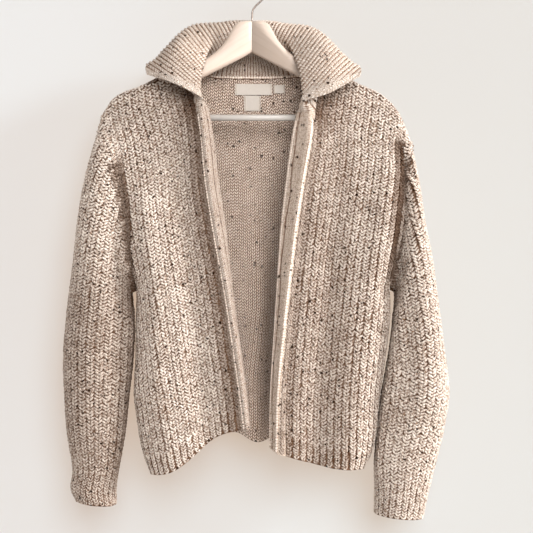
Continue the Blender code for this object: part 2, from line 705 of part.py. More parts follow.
def hook(name, material, collection):
    """Wire: straight stem, a bend to one side, then three quarters of a turn."""
    radius = HOOK_INNER + WIRE_RADIUS
    path = [(0, HOOK_STEM_FOOT), (0, -70), (0, -56), (1.5, -49.5), (6, -43.5)]
    for degrees in range(-42, 201, 13):
        a = math.radians(degrees)
        path.append((radius * math.cos(a), -HOOK_INNER + radius * math.sin(a)))
    curve = bpy.data.curves.new(name, "CURVE")
    curve.dimensions = "3D"
    curve.bevel_depth = WIRE_RADIUS * MM
    curve.bevel_resolution = 2
    curve.use_fill_caps = True
    line = curve.splines.new("POLY")
    line.points.add(len(path) - 1)
    for point, (x, z) in zip(line.points, path):
        point.co = (x * MM, 0, z * MM, 1)
    obj = bpy.data.objects.new(name, curve)
    collection.objects.link(obj)
    mesh = bpy.data.meshes.new_from_object(obj)
    bpy.data.objects.remove(obj)
    mesh.name = name
    mesh.materials.clear()
    mesh.materials.append(material)
    solid = bpy.data.objects.new(name, mesh)
    collection.objects.link(solid)
    weld = solid.modifiers.new("weld", "WELD")
    weld.merge_threshold = 0.00001
    return solid


# ---- build -------------------------------------------------------------------------------------
def make_material(name):
    colour, rough, metal = COLOURS[name]
    material = bpy.data.materials.new(name)
    material.use_nodes = True
    shader = material.node_tree.nodes["Principled BSDF"]
    shader.inputs["Base Color"].default_value = (*colour, 1)
    shader.inputs["Roughness"].default_value = rough
    shader.inputs["Metallic"].default_value = metal
    material.diffuse_color = (*colour, 1)
    return material


def build():
    for obj in list(bpy.data.objects):
        bpy.data.objects.remove(obj)
    part = bpy.data.collections.new(PART_NAME)
    tools = bpy.data.collections.new(PART_NAME + "_cutters")
    bpy.context.scene.collection.children.link(part)
    bpy.context.scene.collection.children.link(tools)
    materials = {name: make_material(name) for name in COLOURS}

    grids, seams = body_grids(ROW_DROPS)
    collar = collar_grid(seams)
    band_wall = [BAND_WALL, BAND_WALL, GROOVE_WALL, BAND_WALL]
    pieces = [
        Cloth("front_right", grids["front_right"], PANEL_WALL, group="body",
              sewn=("top", "start", "end")),
        Cloth("front_left", grids["front_left"], PANEL_WALL, group="body",
              sewn=("top", "start", "end")),
        Cloth("back", grids["back"], PANEL_WALL, group="body", sewn=("top", "start", "end")),
        Cloth("band_right", grids["band_right"], band_wall, sewn=("top", "start")),
        Cloth("band_left", grids["band_left"], band_wall, sewn=("top", "start")),
        Cloth("collar", collar, COLLAR_WALL, sewn=("top",)),
    ]
    for side in ("right", "left"):
        tube = sleeve_grid(side, seams, ROW_DROPS, SLEEVE_ROWS)
        pieces.append(Cloth("sleeve_" + side, tube, PANEL_WALL, closed=True, sewn=("top",)))
    orient(pieces)
    share_normals(pieces)
    wool = {"collar": "rib_wool", "band_right": "rib_wool", "band_left": "rib_wool"}
    meshes = {}
    for piece in pieces:
        points, faces = cloth_mesh(piece)
        meshes[piece.name] = (points, faces)
        material = materials[wool.get(piece.name, "oatmeal_wool")]
        add_object(piece.name, points, faces, material, part)
    for name, (centre, width, top, bottom) in LABELS.items():
        grid = label_grid(meshes["back"], centre, width, top, bottom)
        piece = Cloth(name, grid, LABEL_WALL)
        share_normals([piece])
        points, faces = cloth_mesh(piece)
        add_object(name, points, faces, materials["label_cloth"], part)

    wood = materials["pale_wood"]
    arms = [hanger_arm("hanger_arm_right", -1, wood, part),
            hanger_arm("hanger_arm_left", 1, wood, part)]
    cylinder("hanger_bar", BAR_RADIUS, (-BAR_HALF, 0, BAR_LEVEL), (BAR_HALF, 0, BAR_LEVEL),
             materials["white_coating"], part)
    hook("hanger_hook", materials["steel_wire"], part)
    reach = BAR_HALF + SOCKET_CLEAR
    bar_hole = cylinder("bar_socket", BAR_RADIUS + SOCKET_CLEAR + 0.1, (-reach, 0, BAR_LEVEL),
                        (reach, 0, BAR_LEVEL), None, tools)
    stem_hole = cylinder("stem_socket", WIRE_RADIUS + SOCKET_CLEAR + 0.1,
                         (0, 0, HOOK_STEM_FOOT - SOCKET_CLEAR), (0, 0, ARM_TOP + 5), None, tools, 16)
    for cutter in (bar_hole, stem_hole):
        cutter.hide_render = True
        cutter.display_type = "WIRE"
        for arm in arms:
            cut(arm, cutter)


build()
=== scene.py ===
# %% [markdown]
# # A ribbed cardigan on a wooden hanger
# This lesson dresses a measured model of a chunky wool cardigan that hangs open on a wooden hanger.
# The measured model gives the box of every sewn piece.  Here each piece gets its knitted surface:
# stitches where the yarn is thick enough to cast a shadow, and bump where it is finer than that.

# %% Load the measured model
import json
import math

import bmesh
import bpy
import numpy as np
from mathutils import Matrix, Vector
from mathutils.bvhtree import BVHTree

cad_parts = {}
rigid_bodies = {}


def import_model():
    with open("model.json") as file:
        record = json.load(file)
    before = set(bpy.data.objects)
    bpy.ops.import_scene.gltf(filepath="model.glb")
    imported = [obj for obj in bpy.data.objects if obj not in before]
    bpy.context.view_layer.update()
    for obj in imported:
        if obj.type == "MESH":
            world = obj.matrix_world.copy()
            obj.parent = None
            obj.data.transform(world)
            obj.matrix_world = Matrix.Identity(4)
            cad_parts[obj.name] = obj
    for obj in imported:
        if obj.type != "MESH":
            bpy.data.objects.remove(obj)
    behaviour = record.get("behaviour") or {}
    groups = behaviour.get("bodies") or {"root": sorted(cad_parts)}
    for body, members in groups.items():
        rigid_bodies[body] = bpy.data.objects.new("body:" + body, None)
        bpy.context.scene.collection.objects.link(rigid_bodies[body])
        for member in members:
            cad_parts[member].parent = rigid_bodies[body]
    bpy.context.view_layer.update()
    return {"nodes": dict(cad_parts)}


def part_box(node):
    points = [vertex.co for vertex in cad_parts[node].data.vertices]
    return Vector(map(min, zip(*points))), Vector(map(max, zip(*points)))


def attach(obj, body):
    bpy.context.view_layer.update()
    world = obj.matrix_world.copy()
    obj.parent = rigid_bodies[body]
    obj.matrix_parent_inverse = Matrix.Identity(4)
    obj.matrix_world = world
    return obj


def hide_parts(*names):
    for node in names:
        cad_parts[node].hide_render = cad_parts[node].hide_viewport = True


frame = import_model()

bpy.context.scene.view_settings.view_transform = "Standard"
MM = 0.001

# %% [markdown]
# ## The camera
# The picture was taken level, straight at the garment, from about two metres.  A longer lens from
# further away would flatten the collar, a shorter one would show too much of its inside.  The lens
# is worked out from the width of cloth that the picture spans.

# %% Camera
SENSOR = 36.0
VIEW_WIDTH = 0.7995
VIEW_CENTRE = (0.0223, -0.445)
DISTANCE = 1.9
CLOTH_FRONT = -0.05


def add_object(name, data):
    obj = bpy.data.objects.new(name, data)
    bpy.context.scene.collection.objects.link(obj)
    return obj


def make_camera():
    data = bpy.data.cameras.new("camera")
    data.sensor_width = SENSOR
    data.lens = SENSOR * DISTANCE / VIEW_WIDTH
    camera = add_object("camera", data)
    camera.location = (VIEW_CENTRE[0], CLOTH_FRONT - DISTANCE, VIEW_CENTRE[1])
    camera.rotation_euler = (math.pi / 2, 0, 0)
    bpy.context.scene.camera = camera
    return data.lens


print("lens in mm:", round(make_camera(), 1))

# %% [markdown]
# ## Nodes without the mouse
# A node tree is easier to read as a list of calls.  The first helper adds a node, sets its options
# and fills its inputs, either with a value or with another node's output.  The others are built on it.

# %% Helpers for node trees
def add_node(tree, kind, inputs=None, **options):
    node = tree.nodes.new(kind)
    for key, value in options.items():
        setattr(node, key, value)
    for key, value in (inputs or {}).items():
        if isinstance(value, bpy.types.NodeSocket):
            tree.links.new(value, node.inputs[key])
        else:
            node.inputs[key].default_value = value
    return node


def maths(tree, operation, a, b=0.0, c=None):
    inputs = {0: a, 1: b} if c is None else {0: a, 1: b, 2: c}
    return add_node(tree, "ShaderNodeMath", inputs, operation=operation).outputs[0]


def blend_colours(tree, share, a, b, mode="MIX"):
    node = add_node(tree, "ShaderNodeMix", data_type="RGBA", blend_type=mode)
    for socket, value in ((node.inputs[0], share), (node.inputs[6], a), (node.inputs[7], b)):
        if isinstance(value, bpy.types.NodeSocket):
            tree.links.new(value, socket)
        else:
            socket.default_value = value
    return node.outputs[2]


def times(tree, colour, factor):
    return blend_colours(tree, 1.0, colour, factor, "MULTIPLY")


def remap(tree, value, low, high, to_low=0.0, to_high=1.0):
    node = add_node(tree, "ShaderNodeMapRange",
                    {0: value, 1: low, 2: high, 3: to_low, 4: to_high}, interpolation_type="SMOOTHSTEP")
    return node.outputs[0]


def object_place(tree):
    return add_node(tree, "ShaderNodeTexCoord").outputs["Object"]


def noise(tree, place, scale, detail):
    node = add_node(tree, "ShaderNodeTexNoise", {"Vector": place, "Scale": scale, "Detail": detail})
    return node.outputs["Fac"]


def attribute(tree, name):
    return add_node(tree, "ShaderNodeAttribute", attribute_name=name).outputs["Fac"]


def new_material(name, roughness, **constants):
    material = bpy.data.materials.new(name)
    material.use_nodes = True
    shader = material.node_tree.nodes["Principled BSDF"]
    shader.inputs["Roughness"].default_value = roughness
    for key, value in constants.items():
        shader.inputs[key.replace("_", " ")].default_value = value
    return material, material.node_tree, shader


# %% [markdown]
# ## The studio
# A pale wall close behind the garment takes its soft shadow, and a floor lies out of sight below.
# The wall lets light and sight through from behind, so the garment's back can be looked at too.
# A small lamp far to the right rakes across the ribs, a wide one near the camera opens the hollows,
# and two dim ones behind serve the back.  The wall glows a little, which stands for the light that
# a whole room sends into its shadows.

# %% Wall, floor and lamps
WALL_Y, WALL_TOP = 0.105, 3
FLOOR_Z, FLOOR_REACH = -1.35, 4
# painted light: the glow is brighter on the left, where the garment's shadow falls, and dimmer and more
# orange on the right; the paint is bluer than the glow, so the shadows come out warm
WALL_PAINT = (0.239, 0.332, 0.393, 1)
WALL_GLOW = ((0.483, 0.332, 0.232, 1), (0.43, 0.268, 0.15, 1))
GLOW_CHANGES = (-0.4, 0.4)
LAMPS = {
    # turn to the right of the camera, rise and spread in degrees, light, colour
    "side_lamp": (75, 22, 12, 1.22, (1.0, 0.985, 0.97)),
    "front_lamp": (12, 22, 38, 0.97, (1.0, 0.985, 0.97)),
    "back_lamp_right": (145, 25, 20, 0.5, (1.0, 0.98, 0.95)),
    "back_lamp_left": (215, 12, 20, 0.3, (1.0, 0.97, 0.93)),
}
ROOM_COLOUR, ROOM_STRENGTH = (1.0, 0.985, 0.97, 1), 0.16


def plain_plane(name, corners, material):
    mesh = bpy.data.meshes.new(name)
    mesh.from_pydata(corners, [], [(0, 1, 2, 3)])
    mesh.materials.append(material)
    plane = add_object(name, mesh)
    return plane


def studio_paint(name):
    material, tree, shader = new_material(name, 0.9)
    shader.inputs["Base Color"].default_value = WALL_PAINT
    shader.inputs["Emission Strength"].default_value = 1.0
    across = add_node(tree, "ShaderNodeSeparateXYZ", {0: object_place(tree)}).outputs[0]
    glow = blend_colours(tree, remap(tree, across, *GLOW_CHANGES), *WALL_GLOW)
    tree.links.new(glow, shader.inputs["Emission Color"])
    side = add_node(tree, "ShaderNodeNewGeometry")
    clear = add_node(tree, "ShaderNodeBsdfTransparent")
    both = add_node(tree, "ShaderNodeMixShader",
                    {0: side.outputs["Backfacing"], 1: shader.outputs[0], 2: clear.outputs[0]})
    tree.links.new(both.outputs[0], tree.nodes["Material Output"].inputs["Surface"])
    return material


def lamp(name, turn, rise, spread, light, colour):
    """A far soft light; light is what a white card that faces it would reflect."""
    data = bpy.data.lights.new(name, "SUN")
    data.angle = math.radians(spread)
    data.energy = light * math.pi
    data.color = colour
    turn, rise = math.radians(turn), math.radians(rise)
    away = Vector((math.sin(turn) * math.cos(rise), -math.cos(turn) * math.cos(rise), math.sin(rise)))
    obj = add_object(name, data)
    obj.location = 3 * away
    obj.rotation_euler = (-away).to_track_quat("-Z", "Y").to_euler()


paint = studio_paint("studio_paint")
foot_left, foot_right = (-FLOOR_REACH, WALL_Y, FLOOR_Z), (FLOOR_REACH, WALL_Y, FLOOR_Z)
wall = plain_plane("studio_wall", [foot_left, foot_right, (FLOOR_REACH, WALL_Y, WALL_TOP),
                                   (-FLOOR_REACH, WALL_Y, WALL_TOP)], paint)
wall.visible_shadow = False
plain_plane("studio_floor", [(-FLOOR_REACH, -FLOOR_REACH, FLOOR_Z), (FLOOR_REACH, -FLOOR_REACH, FLOOR_Z),
                             foot_right, foot_left], paint)
for name, settings in LAMPS.items():
    lamp(name, *settings)

world = bpy.data.worlds.new("pale_room")
bpy.context.scene.world = world
world.use_nodes = True
background = world.node_tree.nodes["Background"]
background.inputs["Color"].default_value = ROOM_COLOUR
background.inputs["Strength"].default_value = ROOM_STRENGTH
print("lamps:", len(bpy.data.lights))

# %% [markdown]
# ## Sizes of the sewn pieces
# These are the maker's tables, in millimetres: where each seam runs, how deep the body is at each
# level, and where the folds are.  The measured model was built from the same numbers, so the finer
# surfaces made here lie in the same place.

# %% Body sizes
BODY_DEPTH = [
    # drop below the shoulder, depth of the front, depth of the back
    (0.0, 0.0, 0.0), (1.2, 5.0, 5.0), (4.6, 8.6, 8.6), (10.0, 10.0, 10.0), (24.0, 13.0, 13.5),
    (48.0, 19.0, 20.0), (82.0, 27.0, 28.0), (122.0, 37.0, 35.0), (166.0, 45.0, 41.0),
    (212.0, 50.0, 45.0), (300.0, 53.0, 48.0), (400.0, 54.0, 50.0), (540.0, 51.0, 48.0),
]
NECK_DROP, ARMHOLE_DROP, BODY_DROP = 72.0, 275.0, 540.0
DROPS = np.concatenate([[0, 1.2, 2.6, 4.6, 7], np.linspace(10, NECK_DROP, 11),
                        np.linspace(NECK_DROP, ARMHOLE_DROP, 34)[1:],
                        np.linspace(ARMHOLE_DROP, BODY_DROP, 45)[1:]])
ARM_ROWS = int(np.sum(DROPS <= ARMHOLE_DROP))
SHOULDER_STEPS = 28
BACK_NECK_PARTS = np.interp(np.linspace(0, 12, 37), np.arange(13),
                            [0, 0.024, 0.05, 0.12, 0.24, 0.37, 0.5, 0.63, 0.76, 0.88, 0.95, 0.976, 1])
SHOULDER = {
    "right": [(-98, 0, -132), (-125, 0, -147), (-151, 0, -161), (-172, 0, -171),
              (-194, 0, -179), (-212, 0, -190), (-222, 0, -205)],
    "left": [(106, 0, -136), (127, 0, -148), (151, 0, -161), (172, 0, -171),
             (195, 0, -182), (212, 0, -196), (224, 0, -212)],
}
FRONT_NECK = {
    "right": [(-98, 0, -132), (-98, -5, -133), (-97, -8.6, -136.6), (-96, -11, -143),
              (-94, -17, -158), (-90, -26, -179), (-84, -36, -203)],
    "left": [(106, 0, -136), (106, -5, -137), (105, -8.6, -140.8), (104, -11, -147),
             (102, -17, -164), (99, -26, -187), (95, -36, -212)],
}
BACK_NECK = [(-98, 0, -132), (-97, 5, -133), (-95, 9.5, -136.5), (-83, 19, -144),
             (-62, 27, -149), (-34, 33, -150), (0, 35, -150), (34, 33, -150), (66, 27, -149),
             (90, 19, -147), (103, 9.5, -140.5), (105, 5, -137), (106, 0, -136)]
ARMHOLE = {
    "right": {
        "front": [(-222, 0, -205), (-228, -11, -222), (-225, -18, -240), (-214, -24, -262),
                  (-206, -29, -290), (-197, -34, -330), (-189, -35, -370), (-183, -28, -420),
                  (-177, -14, -460), (-174, 3, -480)],
        "back": [(-222, 0, -205), (-229, 12, -222), (-228, 22, -242), (-220, 29, -268),
                 (-211, 34, -300), (-203, 38, -335), (-195, 40, -375), (-186, 36, -420),
                 (-178, 24, -460), (-174, 3, -480)],
    },
    "left": {
        "front": [(224, 0, -212), (230, -9, -230), (232, -14, -250), (232, -17, -280),
                  (232, -18, -315), (231, -18, -355), (226, -18, -395), (218, -16, -432),
                  (211, -9, -462), (208, 4, -478)],
        "back": [(224, 0, -212), (232, 12, -230), (235, 22, -255), (235, 30, -290),
                 (232, 36, -335), (226, 38, -385), (218, 33, -430), (211, 20, -462),
                 (208, 4, -478)],
    },
}
SIDE_SEAM = {
    "right": [(-174, 3, -480), (-175, 3, -530), (-176, 2, -594), (-178, 1, -640), (-173, 0, -682),
              (-168, 0, -712), (-161, 0, -740), (-152, 0, -762)],
    "left": [(208, 4, -478), (209, 4, -515), (204, 3, -564), (197, 2, -613), (191, 1, -662),
             (188, 0, -700), (180, 0, -730), (169, 0, -752)],
}
HEM = {
    "right": [0, 5, 8, 8, 5, 0, -5, -8, -8, -5, 0],
    "left": [0, -1.5, -3, -4, -5, -5, -5, -4, -3, -1.5, 0],
    "back": [0, 12, 25, 46, 51, 36, 45, 38, 26, 13, 0],
}
BAND_END_LIFT = {"right": 6.0, "left": 12.0}
CORNER = {"right": 3.0, "left": 3.6, "back": 3.4}
BAND_REACH, NECK_EASE, BUMP_GONE = 0.35, 40.0, 0.5
COLUMNS_FROM, COLUMNS_OVER = 5.0, 160.0
FOLD_GROWS, FOLD_FADES = 110.0, 80.0
FOLDS = {
    # across at the top and at the hem, half-width, height outward, first and last drop
    "right": [(0.80, 0.74, 0.13, 6.0, 120, 620), (0.30, 0.34, 0.13, -8.0, 60, 620),
              (0.52, 0.52, 0.10, 2.5, 330, 620)],
    "left": [(0.84, 0.90, 0.09, 5.0, 30, 420), (0.12, 0.14, 0.10, 3.0, 120, 620),
             (0.34, 0.38, 0.14, -5.0, 160, 620), (0.62, 0.62, 0.12, 3.0, 260, 620)],
    "back": [(0.455, 0.480, 0.055, -10.0, 120, 640), (0.560, 0.575, 0.050, 11.0, 200, 640),
             (0.370, 0.385, 0.050, 9.0, 260, 640), (0.20, 0.24, 0.070, -7.0, 220, 640),
             (0.80, 0.79, 0.075, -7.0, 240, 640), (0.68, 0.67, 0.060, 4.0, 200, 640)],
}
SOFT_FOLDS = {
    # the same, too shallow to be measured, but the light picks them out
    "right": [(0.30, 0.30, 0.17, -4.0, 40, 620), (0.79, 0.76, 0.12, 4.0, 100, 620)],
    "left": [(0.80, 0.78, 0.12, 8.0, 60, 620), (0.30, 0.30, 0.20, -5.0, 60, 620)],
    "back": [],
}
SOFT_SLEEVE_FOLDS = {
    # as SLEEVE_FOLDS below, but too shallow to be measured
    "right": [(0.38, 0.06, 4.0, 3, 10.5), (0.20, 0.08, -3.0, 3, 10.5)],
    "left": [(0.38, 0.06, 6.0, 3, 10.5), (0.17, 0.10, -1.5, 3, 10.5)],
}
print("rows down the body:", len(DROPS))

# %% Band, sleeve and collar sizes
BAND = {
    "right": [
        # level, seam x y, ridge x y, groove x y, edge x y
        (-203, -84, -36, -77, -44, -71, -40, -68, -32),
        (-240, -79, -44, -72, -52, -65, -46, -61, -37),
        (-320, -72, -50, -63, -57, -56, -50, -51, -40),
        (-400, -59, -52, -50, -59, -43, -52, -39, -42),
        (-480, -44, -53, -36, -60, -31, -52, -30, -41),
        (-560, -32, -54, -23, -61, -19, -53, -19, -42),
        (-640, -20, -54, -12, -61, -8, -54, -8, -43),
        (-690, -14, -53, -6, -59, -3, -52, -4, -42),
    ],
    "left": [
        (-212, 95, -36, 87, -44, 78, -38, 69, -28),
        (-240, 95, -43, 87, -51, 75, -43, 63, -33),
        (-310, 85, -49, 77, -57, 64, -48, 53, -38),
        (-390, 74, -51, 65, -59, 54, -50, 44, -40),
        (-470, 65, -53, 55, -61, 46, -52, 39, -41),
        (-550, 57, -54, 47, -62, 40, -53, 34, -42),
        (-640, 51, -54, 41, -62, 34, -54, 29, -43),
        (-729, 51, -53, 41, -60, 33, -52, 28, -43),
    ],
}
SLEEVE = {
    "right": [
        # outer x z, inner x z, front, back, bow outward
        (-238, -252, -186, -486, -42, 42, 4), (-253, -308, -186, -493, -48, 44, 5),
        (-264, -370, -185, -503, -51, 44, 4), (-271, -436, -184, -520, -52, 43, 2),
        (-280, -505, -183, -547, -52, 42, 0), (-286, -575, -186, -592, -51, 40, 0),
        (-285, -638, -192, -642, -48, 38, 0), (-281, -700, -198, -700, -43, 34, 0),
        (-273, -754, -207, -754, -35, 28, 0), (-276, -785, -211, -786, -34, 26, 0),
        (-267, -804, -211, -811, -33, 25, 0),
    ],
    "left": [
        (241, -258, 219, -484, -36, 40, 9), (253, -314, 221, -490, -44, 44, 7),
        (262, -375, 221, -500, -50, 45, 4), (274, -437, 220, -514, -54, 45, 2),
        (283, -505, 218, -542, -56, 44, 0), (291, -566, 211, -590, -57, 42, 0),
        (299, -635, 201, -648, -55, 40, 0), (292, -690, 195, -700, -50, 36, 0),
        (281, -738, 191, -745, -44, 32, 0), (270, -784, 191, -786, -37, 28, 0),
        (260, -831, 190, -824, -35, 26, 0),
    ],
}
SLEEVE_ROWS = np.concatenate([[0, 0.08, 0.18, 0.3, 0.45, 0.6, 0.8], np.linspace(1, 11, 81)])
SLEEVE_FOLDS = {
    # turn from the outer line over the front, half-width in turn, height, first and last section
    "right": [(0.33, 0.07, -5.0, 1.5, 7.5), (0.18, 0.07, 3.0, 2.0, 9.0), (0.68, 0.08, -5.0, 2.0, 8.0)],
    "left": [(0.30, 0.07, -5.0, 3.0, 9.0), (0.16, 0.07, 4.0, 3.5, 8.5), (0.70, 0.08, -5.0, 2.0, 8.0)],
}
COLLAR = {
    "right": [
        # roll x y z, middle of the fall x y z, outer edge x y z
        (-75, -52, -193, -108, -60, -175, -158, -39, -154),
        (-79, -50, -177, -112, -56, -159, -161, -27, -147),
        (-76, -36, -149, -114, -40, -128, -160, -11, -136),
        (-68, -3, -112, -108, -10, -97, -150, 10, -127),
        (-50, 15, -80, -88, 29, -68, -127, 38, -101),
        (-34, 24, -65, -60, 48, -70, -86, 60, -122),
    ],
    "left": [
        (75, -49, -200, 116, -58, -186, 163, -39, -157),
        (77, -48, -184, 116, -56, -164, 166, -27, -148),
        (74, -36, -153, 116, -40, -130, 163, -11, -139),
        (63, -3, -112, 106, -10, -98, 153, 10, -130),
        (50, 15, -82, 88, 29, -71, 128, 38, -108),
        (34, 24, -66, 60, 48, -71, 86, 60, -124),
    ],
    "centre": (0, 27, -64, 0, 51, -76, 0, 66, -133),
}
STATION_AT = [0, 0.15, 0.33, 0.51, 0.68, 0.83]

# %% [markdown]
# ## Curves through the tables
# A table row says where the cloth is at one level; a smooth curve says where it is between them.
# Cubic pieces with slopes taken from the neighbours pass through every row and never overshoot much.

# %% Smooth curves
def spline(knots, values, at):
    knots = np.asarray(knots, float)
    values = np.asarray(values, float)
    at = np.asarray(at, float)
    slope = np.gradient(values, knots, axis=0)
    i = np.clip(np.searchsorted(knots, at, side="right") - 1, 0, len(knots) - 2)
    h = (knots[i + 1] - knots[i])[:, None]
    t = ((at - knots[i])[:, None]) / h
    a, b = values[i], values[i + 1]
    return ((1 + 2 * t) * (1 - t) ** 2 * a + t * (1 - t) ** 2 * h * slope[i]
            + t * t * (3 - 2 * t) * b - t * t * (1 - t) * h * slope[i + 1])


def lengths(points):
    steps = np.linalg.norm(np.diff(points, axis=0), axis=1)
    return np.concatenate([[0.0], np.cumsum(steps)])


def read_at(wanted, run, points):
    """Points of a line at the wanted places of its run."""
    return np.stack([np.interp(wanted, run, points[:, k]) for k in range(3)], axis=1)


def along(points, fractions):
    points = np.asarray(points, float)
    run = lengths(points)
    dense = spline(run, points, np.linspace(0, run[-1], 240))
    run = lengths(dense)
    return read_at(np.asarray(fractions) * run[-1], run, dense)


def at_levels(points, levels):
    points = np.asarray(points, float)
    run = lengths(points)
    dense = spline(run, points, np.linspace(0, run[-1], 400))
    out = read_at(-np.asarray(levels), np.maximum.accumulate(-dense[:, 2]), dense)
    out[:, 2] = levels
    return out


def ease(t):
    t = np.clip(t, 0.0, 1.0)
    return t * t * (3 - 2 * t)


def unit(vectors):
    vectors = np.asarray(vectors, float)
    return vectors / np.maximum(np.linalg.norm(vectors, axis=-1, keepdims=True), 1e-9)


# %% [markdown]
# ## Panels as grids of points
# Each panel hangs between two seams.  Row by row, its points go from one seam to the other: flat in
# the middle, turned back at the side, with the folds laid over that.  A cloth simulation could drape
# it too, but it wouldn't fall into the same folds as in the picture.

# %% Seams and panels
def outer_edge(side, half, drops):
    arm, seam = ARMHOLE[side][half], SIDE_SEAM[side]
    tip, under, hem = arm[0][2], arm[-1][2], seam[-1][2]
    upper = drops <= ARMHOLE_DROP
    levels_up = tip + (under - tip) * drops[upper] / ARMHOLE_DROP
    share = (drops[~upper] - ARMHOLE_DROP) / (BODY_DROP - ARMHOLE_DROP)
    levels_down = under + (hem - under) * share
    return np.concatenate([at_levels(arm, levels_up), at_levels(seam, levels_down)])


def band_lines(side, drops):
    table = np.asarray(BAND[side], float)
    share = (drops - NECK_DROP) / (BODY_DROP - NECK_DROP)
    levels = table[0, 0] + (table[-1, 0] - table[0, 0]) * share
    read = spline(-table[:, 0], table, -levels)
    lift = BAND_END_LIFT[side] * np.array([0.0, 0.25, 0.7, 1.0])
    lines = []
    for k in range(4):
        line = np.stack([read[:, 1 + 2 * k], read[:, 2 + 2 * k], levels], axis=1)
        line[:, 2] += lift[k] * share ** 12
        lines.append(line)
    return lines


def fold_height(folds, across, drop):
    total = np.zeros_like(across)
    for top, hem, width, height, start, end in folds:
        centre = top + (hem - top) * drop / BODY_DROP
        window = ease((drop - start) / FOLD_GROWS) * ease((end - drop) / FOLD_FADES)
        total += height * window * np.exp(-((across - centre) / width) ** 2)
    return total * (1 - across ** 8) * (1 - (1 - across) ** 8)


def panel(name, drops, start, end, top, half):
    across = 0.5 - 0.5 * np.cos(np.linspace(0, math.pi, 121))
    top_across = (top[:, 0] - top[0, 0]) / (top[-1, 0] - top[0, 0])
    depth = np.asarray(BODY_DEPTH, float)
    sign = -1.0 if half == "front" else 1.0
    hem = np.asarray(HEM[name], float)[:, None]
    lift = spline(np.linspace(0, 1, len(hem)), hem, across)[:, 0]
    flat_top = top[0, 2] + (top[-1, 2] - top[0, 2]) * across
    bump = np.interp(across, top_across, top[:, 2]) - flat_top
    top_depth = np.interp(across, top_across, top[:, 1])
    column = 0 if half == "front" else 1
    full = depth[-4:, 1 + column].mean()
    corner = 1 - (1 - across ** CORNER[name]) ** (1 / CORNER[name])
    middle = corner[len(corner) // 2]
    turn = np.maximum(corner - middle, 0) / (1 - middle)
    near = np.maximum(1 - across / BAND_REACH, 0.0) ** 2 if half == "front" else turn[::-1]
    rows = []
    for drop, s, e in zip(drops, start, end):
        level_depth = spline(depth[:, 0], depth[:, 1:], [drop])[0][column]
        plane = sign * level_depth + top_depth * max(1 - level_depth / full, 0.0)
        share = drop / BODY_DROP
        x = s[0] + (e[0] - s[0]) * across
        z = s[2] + (e[2] - s[2]) * across + bump * (1 - float(ease(share / BUMP_GONE)))
        z += lift * share ** 3
        y = plane + (s[1] - plane[0]) * near + (e[1] - plane[-1]) * turn
        y += sign * fold_height(FOLDS[name] + SOFT_FOLDS[name], across, drop)
        line = np.stack([x, y, z], axis=1)
        run = lengths(line)
        even = np.interp(np.linspace(0, run[-1], len(top_across)), run, across)
        share_even = float(ease((drop - COLUMNS_FROM) / COLUMNS_OVER))
        places = top_across + (even - top_across) * share_even
        rows.append(read_at(places, across, line))
    grid = np.array(rows)
    miss = top - grid[0]
    for r, drop in enumerate(drops):
        grid[r] += miss * max(1 - drop / NECK_EASE, 0.0) ** 2
    grid[:, 0] = start
    grid[:, -1] = end
    return grid


def body_grids(drops):
    grids, seams = {}, {}
    for side in ("right", "left"):
        shoulder = along(SHOULDER[side], np.linspace(0, 1, SHOULDER_STEPS + 1))
        upper = drops[drops <= NECK_DROP]
        lines = band_lines(side, drops[drops >= NECK_DROP])
        top_level, neck_level = FRONT_NECK[side][0][2], FRONT_NECK[side][-1][2]
        neck = at_levels(FRONT_NECK[side], top_level + (neck_level - top_level) * upper / NECK_DROP)
        neck[0], neck[-1] = shoulder[0], lines[0][0]
        edge = outer_edge(side, "front", drops)
        edge[0] = shoulder[-1]
        start = np.concatenate([neck, lines[0][1:]])
        grids["front_" + side] = panel(side, drops, start, edge, shoulder, "front")
        behind = outer_edge(side, "back", drops)
        behind[0] = shoulder[-1]
        count = int(np.sum(drops <= ARMHOLE_DROP))
        behind[count - 1:] = edge[count - 1:]
        seams[side] = {"neck": neck, "shoulder": shoulder, "front": edge, "back": behind,
                       "band": lines}
    across = along(BACK_NECK, BACK_NECK_PARTS)
    across[0], across[-1] = seams["right"]["shoulder"][0], seams["left"]["shoulder"][0]
    top = np.concatenate([seams["right"]["shoulder"][::-1], across[1:-1], seams["left"]["shoulder"]])
    grids["back"] = panel("back", drops, seams["right"]["back"], seams["left"]["back"], top, "back")
    seams["back_neck"] = across
    return grids, seams


grids, seams = body_grids(DROPS)
print("points on the panels:", {name: grid.shape[:2] for name, grid in grids.items()})

# %% [markdown]
# ## Sleeves and collar
# A sleeve starts at the armhole ring and passes through flattened rings down to the cuff.  The
# collar starts at the neckline, rolls over and falls outward; its ribs run from the seam to the edge,
# so its points do too.

